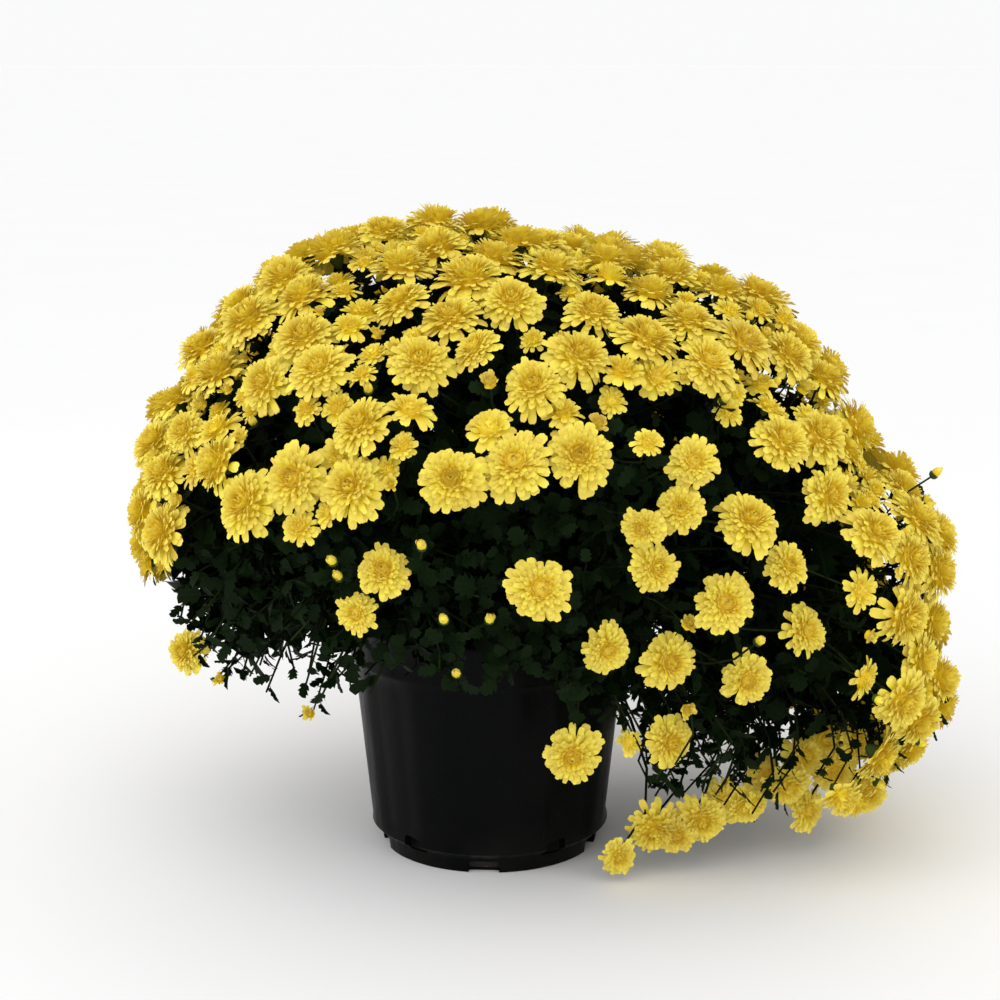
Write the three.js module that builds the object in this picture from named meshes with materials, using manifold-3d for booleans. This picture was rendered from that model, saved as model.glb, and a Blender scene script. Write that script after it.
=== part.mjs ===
// A pot chrysanthemum: a bushy garden mum with double yellow blooms in a black nursery pot.
// Millimetres, +Z up. The origin is the middle of the pot's underside, and -Y is the front.
import * as THREE from "three";
import { mergeVertices } from "three/addons/utils/BufferGeometryUtils.js";
import Module from "manifold-3d";

const wasm = await Module();
wasm.setup();

const TAU = 2 * Math.PI;
const UP = new THREE.Vector3(0, 0, 1);
const NEARLY_UP = new THREE.Vector3(0.02, 0.03, 1);
const { lerp, clamp, degToRad: rad, radToDeg: deg } = THREE.MathUtils;

// ---------------------------------------------------------------- driving dimensions

const POT = {
  height: 190,
  footRadius: 86,
  footHeight: 13,
  shoulderRadius: 95,
  collarRadius: 111,
  collarHeight: 34,
  rimRadius: 114.5,
  rimWidth: 4,
  wall: 4,
  floor: 3,
  flutes: 8,
  fluteDepth: 2.2,
  facetsPerFlute: 4,
  ribFacets: 2,
  ribTurn: rad(14),
  drains: 5,
  notch: [14, 24, 20],
  hole: [10, 19, 13],
  turn: rad(-93), // the first drain notch faces the front
};

const SOIL = {
  top: 172,
  clearance: 0.3,
  sides: 20,
  mound: 6,
  moundRadius: 80,
  holeDepth: 10,
  holeRadius: 8.2,
};

const BLOOM = {
  most: 27.5,
  usual: 24,
  least: 18,
  calyx: 0.5, // depth of the underside, as a share of the radius
  petals: 5,
  gap: 1.2,
  closest: 0.85, // how near two neighbours stand, as a share of their radii
  loosest: 0.91,
  bond: 2, // least volume shared by a bloom and the neighbour that it touches, in mm3
  darts: 14000,
  detail: 0.25,
};

const CLUSTER = { seed: 11, darts: 3000, spacing: 134, hangingSpace: 60 };
const STEM = {
  foot: 3.6,
  tip: 2.8,
  stations: [0, 0.06, 0.25, 0.5, 0.75, 1],
  lowRise: 125, // how straight up a limb starts, by how low it ends
  highRise: 130,
  shortest: 130,
  sleeve: 2.5, // room that another stem's foliage leaves round a limb
  seat: 0.4,
  bond: 160, // least volume that a limb shares with the thicket, in mm3
  twig: 1.6,
  twigLength: 34,
  twigBond: 30, // least volume that a twig shares with its stem's foliage, in mm3
  twigSeats: [0.5, 0.7, 0.85, 1], // how far a slanted twig stays back, as shares of its radius
  twigLean: [0.5, 0.35, 0.65, 0.2, 0.8, 0.95], // shares of the way from its bloom's axis
  detail: 0.15,
};
const LEAF = {
  length: 50,
  width: 36,
  thickness: 2.8,
  root: 10,
  count: 80,
  tries: 2500,
  amongBlooms: 0.3, // share of the tries under the canopy that are taken
  rooted: [8, 250], // least and most volume that it shares with the thicket, in mm3
  lowest: 8,
  seed: 5,
};

// The thick of the foliage, which leaves, twigs and blooms stand out of.
const THICKET = {
  depth: 38, // below the bloom centres
  thickness: 24,
  bloomSpace: 25, // below a hanging bloom's centre
  bloomSpread: 0.95, // cosine of the angle over which a bloom keeps it back
  droop: 11, // degrees over which its lower edge tucks in
  tuck: 125, // distance from the heart under that edge
  lowest: 16,
  seam: 0.4,
};

// The blooms that hang turn to the light, which comes from the front and above.
const LIGHT = new THREE.Vector3(0, -0.8, 0.45);

// The crown is a lopsided ball of blooms about this point, over the middle of the pot.
const HEART = new THREE.Vector3(0, 0, 210);

// Reach from the heart to the bloom centres by elevation in degrees, towards each side.
const ELEVATIONS = [-50, -32, -15, 0, 10, 20, 30, 45, 60, 75, 90];
const REACH = {
  right: [235, 340, 368, 352, 354, 318, 314, 315, 294, 272, 278],
  left: [200, 240, 266, 272, 278, 286, 289, 297, 298, 290, 281],
  depth: [200, 205, 225, 250, 264, 274, 282, 286, 288, 284, 280],
};

// Lowest elevation of the close canopy by azimuth, in degrees: 0 is +X and 90 is the back.
const AZIMUTHS = [
  -180, -160, -150, -142, -132, -120, -105, -90, -72, -64, -56, -50, -46, -34, -27, 0, 25, 50,
  90, 135, 180,
];
const LOWEST = [
  2, 7, 15, 25, 20, 20, 26, 28, 29, 38, 43, 38, 30, 26, -26, -31, -26, -14, -6, -4, 2,
];

// Lowest elevation of the thick foliage by azimuth, in degrees, and how far the hollow at
// the front right lets the eye in.
const FOLIAGE_AZIMUTHS = [-180, -150, -120, -90, -60, -40, -20, 0, 25, 50, 90, 135, 180];
const FOLIAGE_LOWEST = [-12, -12, -12, -12, -20, -34, -42, -42, -36, -26, -20, -16, -12];
const HOLLOW = { azimuths: [-72, -30], elevations: [-24, 24], distance: 180 };

// Blooms that hang below the canopy, alone or in runs that touch: the x, y and z of the
// centre and the diameter.
const HANGING = [
  [[36, -238, 267, 48]],
  [[-72, -228, 277, 42]],
  [[-92, -215, 243, 36]],
  [[85, -192, 210, 42]],
  [[130, -182, 198, 44]],
  [[62, -152, 119, 50]],
  [[132, -142, 126, 42]],
  [[167, -200, 247, 46]],
  [[181, -200, 304, 48]],
  [[212, -178, 268, 38]],
  [[232, -146, 212, 42]],
  [[187, -165, 180, 40]],
  [
    [142, -212, 351, 38],
    [132, -218, 318, 38],
    [106, -228, 307, 34],
    [114, -224, 278, 38],
  ],
  [[-237, -44, 167, 38]],
  [
    [100, -112, 22, 34],
    [126, -98, 42, 48],
    [163, -92, 47, 42],
    [198, -84, 52, 42],
    [232, -78, 66, 42],
  ],
  [
    [250, -66, 44, 36],
    [270, -60, 74, 44],
    [298, -46, 50, 42],
  ],
];

// Main stems: foot azimuth and radius in the soil, then the azimuth and elevation of the
// middle of the foliage that each one carries.
const MAIN_STEMS = [
  [-95, 14, -95, 76],
  [0, 34, 0, 60],
  [75, 30, 75, 55],
  [148, 36, 148, 50],
  [215, 36, 215, 50],
  [283, 40, 283, 46],
  [-28, 50, -22, 24],
  [22, 66, 22, 6],
  [62, 64, 62, 10],
  [105, 64, 105, 10],
  [150, 64, 150, 12],
  [192, 64, 190, 12],
  [238, 62, 238, 22],
  [-58, 64, -55, 0],
  [-8, 68, -8, -8],
];

// Round buds with green tips, on twigs of their own: x, y and z of the middle.
const BUDS = [
  [-55, -241, 303],
  [-118, -212, 276],
  [-1, -208, 240],
  [-24, -186, 193],
  [203, -192, 206],
];

const COLOURS = { pot: 0x17181a, soil: 0x3b2a1e, stem: 0x3f6127, bloom: 0xf2d21c };

// ---------------------------------------------------------------- seeded draws

/** Returns a function that draws the same numbers from 0 to 1 on every run. */
function seededDraw(seed) {
  let state = seed;
  return () => {
    state = (state + 0x6d2b79f5) | 0;
    let t = Math.imul(state ^ (state >>> 15), 1 | state);
    t = (t + Math.imul(t ^ (t >>> 7), 61 | t)) ^ t;
    return ((t ^ (t >>> 14)) >>> 0) / 4294967296;
  };
}

// ---------------------------------------------------------------- solids

/** Turns a closed geometry into a manifold solid. */
function solidOf(geometry) {
  const bare = geometry.clone();
  bare.deleteAttribute("normal");
  bare.deleteAttribute("uv");
  const merged = mergeVertices(bare, 1e-4);
  const vertProperties = new Float32Array(merged.attributes.position.array);
  const triVerts = new Uint32Array(merged.index.array);
  return new wasm.Manifold(new wasm.Mesh({ numProp: 3, vertProperties, triVerts }));
}

/** Turns a manifold solid back into a geometry. */
function geometryOf(solid) {
  const { vertProperties, triVerts } = solid.getMesh();
  const geometry = new THREE.BufferGeometry();
  geometry.setAttribute("position", new THREE.Float32BufferAttribute(vertProperties, 3));
  geometry.setIndex(new THREE.Uint32BufferAttribute(triVerts, 1));
  geometry.computeVertexNormals();
  return geometry;
}

/** Solids fused into one, with edges shorter than a tolerance drawn together. */
function joined(solids, tolerance = 0) {
  const whole = solids.reduce((sum, solid) => sum.add(solid));
  return tolerance > 0 ? whole.simplify(tolerance) : whole;
}

/** Whether two solids come closer than a gap, asked first of the boxes round them. */
function tooClose(solid, other, gap) {
  const [a, b] = [solid.boundingBox(), other.boundingBox()];
  const apart = [0, 1, 2].some((i) => a.min[i] > b.max[i] + gap || b.min[i] > a.max[i] + gap);
  return !apart && solid.minGap(other, gap + 0.1) < gap;
}

/**
 * A closed solid from stacked rings of points, lowest first, each one anticlockwise from
 * above. A ring has as many points as the last one, a whole multiple or a whole share.
 */
function ringSolid(rings) {
  const faces = [];
  const starts = rings.map((_, k) => rings.slice(0, k).flat().length);
  const at = (k, i) => starts[k] + (i % rings[k].length);
  const last = rings.length - 1;
  for (let i = 1; i < rings[0].length - 1; i++) faces.push(at(0, 0), at(0, i + 1), at(0, i));
  for (let k = 1; k <= last; k++) {
    const [low, high] = [rings[k - 1].length, rings[k].length];
    const share = Math.max(low, high) / Math.min(low, high);
    for (let i = 0; i < Math.min(low, high); i++) {
      for (let j = i * share; j < (i + 1) * share; j++) {
        if (low >= high) faces.push(at(k - 1, j), at(k - 1, j + 1), at(k, i));
        else faces.push(at(k - 1, i), at(k, j + 1), at(k, j));
      }
      if (Math.min(low, high) === 1) continue;
      if (low >= high) faces.push(at(k - 1, (i + 1) * share), at(k, i + 1), at(k, i));
      else faces.push(at(k - 1, i), at(k - 1, i + 1), at(k, (i + 1) * share));
    }
  }
  const top = rings[last].length;
  for (let i = 1; i < top - 1; i++) faces.push(at(last, 0), at(last, i), at(last, i + 1));
  const geometry = new THREE.BufferGeometry().setFromPoints(rings.flat());
  geometry.setIndex(faces);
  return geometry;
}

/** A point at a radius, an angle in radians and a height about the Z axis. */
function polar(radius, angle, z) {
  return new THREE.Vector3(radius * Math.cos(angle), radius * Math.sin(angle), z);
}

/** A tapering rod along a curve, with a ring of corners at each station from 0 to 1. */
function rod(curve, stations, startRadius, endRadius, sides) {
  const chord = curve.getPoint(1).sub(curve.getPoint(0));
  const across = chord.cross(NEARLY_UP).normalize();
  const rings = stations.map((t) => {
    const middle = curve.getPoint(t);
    const over = curve.getTangent(t).cross(across).normalize();
    return Array.from({ length: sides }, (_, i) => {
      const corner = polar(lerp(startRadius, endRadius, t), (TAU * i) / sides, 0);
      return middle.clone().addScaledVector(across, corner.x).addScaledVector(over, corner.y);
    });
  });
  return solidOf(ringSolid(rings));
}

// ---------------------------------------------------------------- pot and soil

/** Outer radius of the pot's wall between the foot and the collar. */
function wallRadius(z) {
  const low = POT.footHeight + 5;
  const high = POT.height - POT.collarHeight;
  return lerp(POT.shoulderRadius, POT.collarRadius - 1.5, clamp((z - low) / (high - low), 0, 1));
}

/** The space inside the pot, or with a clearance, the outside of the soil that fills it. */
function potInside(clearance, top) {
  const floor = POT.floor + clearance;
  const lowRadius = POT.footRadius - POT.wall - clearance;
  const highRadius = POT.rimRadius - POT.rimWidth - clearance;
  const slope = (highRadius - lowRadius) / (POT.height - POT.floor);
  const shape = new THREE.CylinderGeometry(
    lowRadius + slope * (top - floor),
    lowRadius,
    top - floor,
    SOIL.sides,
  );
  return solidOf(shape.rotateX(Math.PI / 2).translate(0, 0, (top + floor) / 2));
}

/** Cutters for the notches under the foot and the drain holes in the shoulder, by turns. */
function drainCuts() {
  const cuts = [];
  for (let i = 0; i < 2 * POT.drains; i++) {
    const angle = POT.turn + (Math.PI * i) / POT.drains;
    const isNotch = i % 2 === 0;
    const cut = new THREE.BoxGeometry(...(isNotch ? POT.notch : POT.hole));
    const radius = isNotch ? POT.footRadius : POT.footRadius + 4;
    cut.rotateZ(angle).translate(
      radius * Math.cos(angle),
      radius * Math.sin(angle),
      isNotch ? 0 : POT.footHeight + 5,
    );
    cuts.push(solidOf(cut));
  }
  return cuts;
}

/** The nursery pot: foot, fluted wall, collar and rim, open at the top and the drains. */
function potSolid() {
  const collarFoot = POT.height - POT.collarHeight;
  const levels = [
    [0, POT.footRadius, 0],
    [POT.footHeight, POT.footRadius + 1.5, 0],
    [POT.footHeight + 5, POT.shoulderRadius, 0],
    [POT.footHeight + 14, wallRadius(POT.footHeight + 14), POT.fluteDepth],
    [collarFoot - 8, wallRadius(collarFoot - 8), POT.fluteDepth],
    [collarFoot, POT.collarRadius, 0],
    [POT.height, POT.rimRadius, 0],
  ];
  const facets = POT.flutes * POT.facetsPerFlute;
  const rings = levels.map(([z, radius, depth]) =>
    Array.from({ length: facets }, (_, i) => {
      const onRib = i % POT.facetsPerFlute < POT.ribFacets;
      return polar(radius - (onRib ? 0 : depth), POT.ribTurn + (TAU * i) / facets, z);
    }),
  );
  const outside = solidOf(ringSolid(rings));
  return outside.subtract(potInside(0, POT.height + 1)).subtract(joined(drainCuts()));
}

/** The potting soil, mounded in the middle, with a plain hole for each main stem's foot. */
function soilSolid(feet) {
  const filling = potInside(SOIL.clearance, SOIL.top);
  const mound = new THREE.ConeGeometry(SOIL.moundRadius, SOIL.mound + 1, 9);
  mound.rotateX(Math.PI / 2).translate(0, 0, SOIL.top + (SOIL.mound - 1) / 2);
  const holes = feet.map((foot) => {
    const hole = new THREE.CylinderGeometry(SOIL.holeRadius, SOIL.holeRadius, 40, 4);
    hole.rotateX(Math.PI / 2).translate(foot.x, foot.y, foot.z - STEM.seat + 20);
    return solidOf(hole);
  });
  return filling.add(solidOf(mound)).subtract(joined(holes));
}

// ---------------------------------------------------------------- layout of the crown

/** Value at a key, in straight lines between the entries of a table with rising keys. */
function between(keys, values, key) {
  const next = keys.findIndex((k) => k >= key);
  if (next <= 0) return values.at(next);
  const share = (key - keys[next - 1]) / (keys[next] - keys[next - 1]);
  return lerp(values[next - 1], values[next], share);
}

/** Unit vector at an azimuth and elevation in degrees. */
function direction(azimuth, elevation) {
  return polar(Math.cos(rad(elevation)), rad(azimuth), Math.sin(rad(elevation)));
}

/** Where the canopy lies in a direction from the heart. */
function canopyPoint(toward) {
  const elevation = deg(Math.asin(clamp(toward.z, -1, 1)));
  const side = toward.x / Math.hypot(toward.x, toward.y, 1e-9);
  const wide = between(ELEVATIONS, side > 0 ? REACH.right : REACH.left, elevation);
  const distance = lerp(between(ELEVATIONS, REACH.depth, elevation), wide, side * side);
  return toward.clone().multiplyScalar(distance).add(HEART);
}

/** The way that the canopy's surface faces in a direction from the heart. */
function canopyNormal(toward) {
  const east = new THREE.Vector3(-toward.y, toward.x + 1e-9, 0).normalize();
  const north = toward.clone().cross(east);
  const beside = (tangent, step) =>
    canopyPoint(toward.clone().addScaledVector(tangent, step).normalize());
  const alongEast = beside(east, 0.1).sub(beside(east, -0.1));
  const alongNorth = beside(north, 0.1).sub(beside(north, -0.1));
  return alongEast.cross(alongNorth).normalize();
}

/** The matrix that stands a piece, made along +Z, at a point along an axis with a turn. */
function standing(point, axis, turn) {
  const lean = new THREE.Quaternion().setFromUnitVectors(UP, axis);
  lean.multiply(new THREE.Quaternion().setFromAxisAngle(UP, turn));
  return new THREE.Matrix4().compose(point, lean, new THREE.Vector3(1, 1, 1));
}

/** A bloom turned so that a petal's tip points at its neighbour. */
function makeBloom(centre, axis, radius, cluster, neighbour = HEART) {
  const local = neighbour.clone().applyMatrix4(standing(centre, axis, 0).invert());
  return { centre, axis, radius, cluster, neighbour, turn: Math.atan2(local.y, local.x) };
}

/** The blooms that hang below the canopy, which face away from the heart and to the light. */
function hangingBlooms() {
  const blooms = [];
  HANGING.forEach((run, cluster) => {
    const places = run.map(([x, y, z]) => new THREE.Vector3(x, y, z));
    run.forEach(([, , , diameter], i) => {
      const centre = places[i];
      const axis = centre.clone().sub(HEART).normalize().add(LIGHT);
      const neighbour = i > 0 ? places[i - 1] : HEART;
      if (run.length > 1) {
        const way = places.at(-1).clone().sub(places[0]).normalize();
        axis.setZ(Math.max(axis.z, 0)).addScaledVector(way, -axis.dot(way));
      }
      blooms.push(makeBloom(centre, axis.normalize(), diameter / 2, cluster, neighbour));
    });
  });
  return blooms;
}

/** A direction drawn evenly over the canopy, or nothing where it falls below its edge. */
function drawDirection(draw) {
  const azimuth = lerp(-180, 180, draw());
  const sine = lerp(-0.6, 1, draw());
  const elevation = deg(Math.asin(sine));
  return elevation < between(AZIMUTHS, LOWEST, azimuth) ? null : direction(azimuth, elevation);
}

/** The middle blooms of the canopy's clusters, from darts that keep their distance. */
function clusterMiddles(draw, hanging) {
  const middles = [];
  for (let i = 0; i < CLUSTER.darts; i++) {
    const toward = drawDirection(draw);
    if (!toward) continue;
    const centre = canopyPoint(toward);
    const isFree = (b) => b.centre.distanceTo(centre) > CLUSTER.hangingSpace;
    const isSpaced = (b) => b.centre.distanceTo(centre) > CLUSTER.spacing;
    if (!hanging.every(isFree) || !middles.every(isSpaced)) continue;
    const cluster = HANGING.length + middles.length;
    middles.push(makeBloom(centre, canopyNormal(toward), BLOOM.most, cluster));
  }
  return middles;
}

/** Every bloom: those that hang, then clusters that grow bloom by bloom until they meet. */
function layOutBlooms() {
  const draw = seededDraw(CLUSTER.seed);
  const hanging = hangingBlooms();
  const canopy = clusterMiddles(draw, hanging);
  for (let i = 0; i < BLOOM.darts; i++) {
    const toward = drawDirection(draw);
    const wanted = lerp(BLOOM.usual, BLOOM.most, draw());
    if (!toward) continue;
    const centre = canopyPoint(toward);
    const crowding = (b) => b.centre.distanceTo(centre) / (wanted + b.radius);
    const nearest = canopy.reduce((a, b) => (crowding(b) < crowding(a) ? b : a));
    let radius = wanted;
    for (const b of [...hanging, ...canopy]) {
      if (b.cluster === nearest.cluster) continue;
      radius = Math.min(radius, b.centre.distanceTo(centre) - b.radius - BLOOM.gap);
    }
    if (radius < BLOOM.least) continue;
    const overlap = nearest.centre.distanceTo(centre) / (radius + nearest.radius);
    if (overlap < BLOOM.closest || overlap > BLOOM.loosest) continue;
    canopy.push(
      makeBloom(centre, canopyNormal(toward), radius, nearest.cluster, nearest.centre),
    );
  }
  return [...hanging, ...canopy];
}

// ---------------------------------------------------------------- blooms

/** One double bloom: two layers of petals, the upper ones between the lower. */
function bloomSolid({ centre, axis, radius, turn }) {
  const step = Math.PI / BLOOM.petals;
  const ring = (count, pick) => Array.from({ length: count }, (_, i) => pick(i));
  const geometry = ringSolid([
    [new THREE.Vector3(0, 0, -BLOOM.calyx * radius)],
    ring(2 * BLOOM.petals, (i) =>
      i % 2 === 0
        ? polar(radius, i * step, -0.02 * radius)
        : polar(0.79 * radius, i * step, 0.05 * radius),
    ),
    ring(BLOOM.petals, (i) => polar(0.64 * radius, (2 * i + 1) * step, 0.36 * radius)),
    [new THREE.Vector3(0, 0, 0.2 * radius)],
  ]);
  return solidOf(geometry.applyMatrix4(standing(centre, axis, turn)));
}

/** A cluster as one body: each bloom leans in until it holds to its neighbour. */
function clusterSolid(blooms) {
  let whole = bloomSolid(blooms[0]);
  for (const bloom of blooms.slice(1)) {
    let solid = bloomSolid(bloom);
    while (solid.intersect(whole).volume() < BLOOM.bond) {
      bloom.centre.lerp(bloom.neighbour, 0.03);
      solid = bloomSolid(bloom);
    }
    whole = whole.add(solid);
  }
  return whole.simplify(BLOOM.detail);
}

// ---------------------------------------------------------------- leafy stems

/** A lobed leaf along +X from its stalk, arched a little, with +Z as its upper side. */
function leafGeometry(length) {
  const width = (length * LEAF.width) / LEAF.length;
  const half = [
    [0.25, 0.46],
    [0.42, 0.24],
    [0.68, 0.42],
  ];
  const corner = ([along, across], side) =>
    new THREE.Vector3(along * length, side * across * width, -3 * along * along);
  const outline = [
    corner([0, 0], 1),
    ...half.map((point) => corner(point, -1)),
    corner([1, 0], 1),
    ...half.map((point) => corner(point, 1)).reverse(),
  ];
  const middle = (z) => new THREE.Vector3(0.45 * length, 0, z);
  return ringSolid([
    [middle(-LEAF.thickness / 2)],
    outline,
    [middle(LEAF.thickness / 2)],
  ]);
}

/** A leaf whose stalk starts at a point, along a direction, its face turned outward. */
function leafSolid(start, along, length) {
  const x = along.clone().normalize();
  const outward = start.clone().sub(HEART).normalize();
  const y = outward.cross(x).normalize();
  const z = x.clone().cross(y);
  const matrix = new THREE.Matrix4().makeBasis(x, y, z).setPosition(start);
  return solidOf(leafGeometry(length).applyMatrix4(matrix));
}

/** A round bud along +Z, from the twig that it sits on. */
function budSolid(centre, axis) {
  const ring = (radius, z) => Array.from({ length: 5 }, (_, i) => polar(radius, (TAU * i) / 5, z));
  const geometry = ringSolid([ring(2, -4.5), ring(5, 0), [new THREE.Vector3(0, 0, 4.5)]]);
  return solidOf(geometry.applyMatrix4(standing(centre, axis, 0)));
}

/** One main stem: its limb rises from its foot in the soil and runs out into the thicket. */
function makeStem([footAzimuth, footRadius, azimuth, elevation], thicket) {
  const foot = polar(footRadius, rad(footAzimuth), SOIL.top - SOIL.holeDepth + STEM.seat);
  const toward = direction(azimuth, elevation);
  const isLow = elevation < 30;
  const rise = foot.clone().setZ(foot.z + (isLow ? STEM.lowRise : STEM.highRise));
  const lead = isLow ? polar(-80, rad(azimuth), 18) : toward.clone().multiplyScalar(-90);
  let distance = STEM.shortest;
  for (;;) {
    const fork = toward.clone().multiplyScalar(distance).add(HEART);
    const curve = new THREE.CubicBezierCurve3(foot, rise, fork.clone().add(lead), fork);
    const limb = rod(curve, STEM.stations, STEM.foot, STEM.tip, 4);
    if (limb.intersect(thicket).volume() > STEM.bond) {
      const { stations, foot: thick, tip: thin, sleeve: room } = STEM;
      const sleeve = rod(curve, stations, thick + room, thin + room, 4);
      return { foot, toward, limb, sleeve, parts: [limb] };
    }
    distance += 4;
  }
}

/** How far the thick foliage reaches from the heart in a direction. */
function thicketReach(toward, blooms) {
  const azimuth = deg(Math.atan2(toward.y, toward.x));
  const elevation = deg(Math.asin(clamp(toward.z, -1, 1)));
  let distance = canopyPoint(toward).distanceTo(HEART) - THICKET.depth;
  const { azimuths, elevations } = HOLLOW;
  const isHollow = azimuth > azimuths[0] && azimuth < azimuths[1];
  if (isHollow && elevation > elevations[0] && elevation < elevations[1]) {
    distance = HOLLOW.distance;
  }
  for (const { centre } of blooms) {
    const span = centre.distanceTo(HEART);
    const isNear = centre.clone().sub(HEART).dot(toward) > THICKET.bloomSpread * span;
    if (isNear) distance = Math.min(distance, span - THICKET.bloomSpace);
  }
  const below = between(FOLIAGE_AZIMUTHS, FOLIAGE_LOWEST, azimuth) - elevation;
  distance = lerp(distance, THICKET.tuck, clamp(below / THICKET.droop, 0, 1));
  const drop = (HEART.z - THICKET.lowest) / Math.max(-toward.z, 1e-9);
  return toward.z < 0 ? Math.min(distance, drop) : distance;
}

/** A ball round the heart with its surface at a depth below the foliage's. */
function foliageBall(blooms, depth) {
  const shape = new THREE.IcosahedronGeometry(1, 3);
  const place = shape.attributes.position;
  for (let i = 0; i < place.count; i++) {
    const toward = new THREE.Vector3().fromBufferAttribute(place, i).normalize();
    const distance = thicketReach(toward, blooms) - depth;
    const point = toward.multiplyScalar(distance).add(HEART);
    place.setXYZ(i, point.x, point.y, point.z);
  }
  return solidOf(shape);
}

/** The thick of the foliage as one body: a deep bowl turned over the pot and the limbs. */
function thicketSolid(blooms) {
  const neck = new THREE.CylinderGeometry(POT.rimRadius + 8, POT.rimRadius + 8, 230, 12);
  const shell = foliageBall(blooms, 0).subtract(foliageBall(blooms, THICKET.thickness));
  return shell.subtract(solidOf(neck.rotateX(Math.PI / 2).translate(0, 0, 95)));
}

/** The share of the thicket that a stem carries: what lies nearer its way than any other's. */
function stemThicket(thicket, stem, stems) {
  let share = thicket;
  for (const other of stems) {
    if (other === stem) continue;
    const across = stem.toward.clone().sub(other.toward).normalize();
    const offset = across.dot(HEART) + THICKET.seam / 2;
    share = share.trimByPlane(across.toArray(), offset);
  }
  for (const other of stems) {
    if (other === stem) continue;
    if (tooClose(share, other.limb, THICKET.seam)) share = share.subtract(other.sleeve);
  }
  const bodies = share.decompose();
  return bodies.reduce((a, b) => (b.volume() > a.volume() ? b : a));
}

/** The stems by how near their shares of the crown are to a point, the nearest first. */
function stemsNear(point, stems) {
  const toward = point.clone().sub(HEART);
  return [...stems].sort((a, b) => b.toward.dot(toward) - a.toward.dot(toward));
}

/** Adds a piece to a stem if it is clear of everything else, and says if it did. */
function growPiece(piece, stem, stems, obstacles, gap) {
  const others = stems.filter((s) => s !== stem).flatMap((s) => s.parts);
  if ([...obstacles, ...others].some((other) => tooClose(piece, other, gap))) return false;
  stem.parts.push(piece);
  return true;
}

/** Ways in which a twig may run back from its end, the most natural ones first. */
function waysBack(end, axis) {
  const inward = HEART.clone().sub(end).normalize();
  const upward = inward.clone().add(UP).normalize();
  const ways = [];
  for (const share of STEM.twigLean) {
    for (const target of [inward, upward, UP]) {
      ways.push(axis.clone().negate().lerp(target, share).normalize());
    }
  }
  return ways;
}

/** A twig that runs back from its end until it roots in a stem, or nothing if it misses. */
function rootedTwig(end, back, stem) {
  for (let length = STEM.twigLength; length < 6 * STEM.twigLength; length += 8) {
    const start = end.clone().addScaledVector(back, length);
    const twig = rod(new THREE.LineCurve3(start, end), [0, 1], STEM.twig, STEM.twig, 3);
    if (twig.intersect(stem.thicket).volume() > STEM.twigBond) return twig;
  }
  return null;
}

/** A twig that runs out of the thicket to a point along an axis. */
function growTwig(stems, obstacles, end, axis, tip = null) {
  for (const stem of stemsNear(end, stems).slice(0, 3)) {
    for (const back of waysBack(end, axis)) {
      const slant = tip ? 0 : Math.sqrt(1 - Math.min(back.dot(axis) ** 2, 1));
      for (const share of STEM.twigSeats) {
        const foot = end.clone().addScaledVector(axis, -STEM.twig * slant * share);
        const twig = rootedTwig(foot, back, stem);
        if (!twig) break;
        if (!growPiece(twig, stem, stems, obstacles, STEM.seat - 0.1)) continue;
        if (tip) stem.parts.push(tip);
        return true;
      }
    }
  }
  return false;
}

/** Twigs that hold the clusters: more of them the more blooms a cluster has. */
function growClusterTwigs(stems, obstacles, blooms) {
  const count = 1 + Math.max(...blooms.map((b) => b.cluster));
  for (let cluster = 0; cluster < count; cluster++) {
    const own = blooms.filter((b) => b.cluster === cluster);
    const nearness = ({ centre }) =>
      centre.clone().sub(HEART).normalize().dot(stemsNear(centre, stems)[0].toward);
    own.sort((a, b) => nearness(b) - nearness(a));
    let wanted = Math.min(4, 1 + Math.floor(own.length / 5));
    for (const { centre, axis, radius } of own) {
      if (wanted === 0) break;
      const end = centre.clone().addScaledVector(axis, -BLOOM.calyx * radius - STEM.seat);
      if (growTwig(stems, obstacles, end, axis)) wanted--;
    }
  }
}

/** Leaves that stand out of the thicket on every side, wherever there is room for one. */
function growLeaves(stems, obstacles, blooms) {
  const draw = seededDraw(LEAF.seed);
  const leaves = [];
  for (let i = 0; i < LEAF.tries && leaves.length < LEAF.count; i++) {
    const azimuth = lerp(-180, 180, draw());
    const elevation = deg(Math.asin(lerp(-0.7, 1, draw())));
    const toward = direction(azimuth, elevation);
    const turn = 360 * draw();
    const lift = lerp(0.45, 0.9, draw());
    const length = LEAF.length * lerp(0.8, 1.15, draw());
    const isBare = elevation < between(AZIMUTHS, LOWEST, azimuth);
    if (draw() > (isBare ? 1 : LEAF.amongBlooms)) continue;
    if (elevation < between(FOLIAGE_AZIMUTHS, FOLIAGE_LOWEST, azimuth) - 8) continue;
    const start = HEART.clone().addScaledVector(toward, thicketReach(toward, blooms) - LEAF.root);
    const along = toward.clone().cross(direction(turn, 30)).normalize();
    const leaf = leafSolid(start, along.addScaledVector(toward, lift), length);
    const stem = stemsNear(start, stems)[0];
    const shared = leaf.intersect(stem.thicket).volume();
    if (leaf.boundingBox().min[2] < LEAF.lowest) continue;
    if (shared < LEAF.rooted[0] || shared > LEAF.rooted[1]) continue;
    if (leaves.some((other) => tooClose(leaf, other, 2))) continue;
    if (growPiece(leaf, stem, stems, obstacles, 0.5)) leaves.push(leaf);
  }
}

// ---------------------------------------------------------------- assembly

/** A named mesh with a material of its own. */
function makeMesh(name, solid, colour, roughness) {
  const material = new THREE.MeshStandardMaterial({ color: colour, roughness, metalness: 0 });
  const mesh = new THREE.Mesh(geometryOf(solid), material);
  mesh.name = name;
  return mesh;
}

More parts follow.
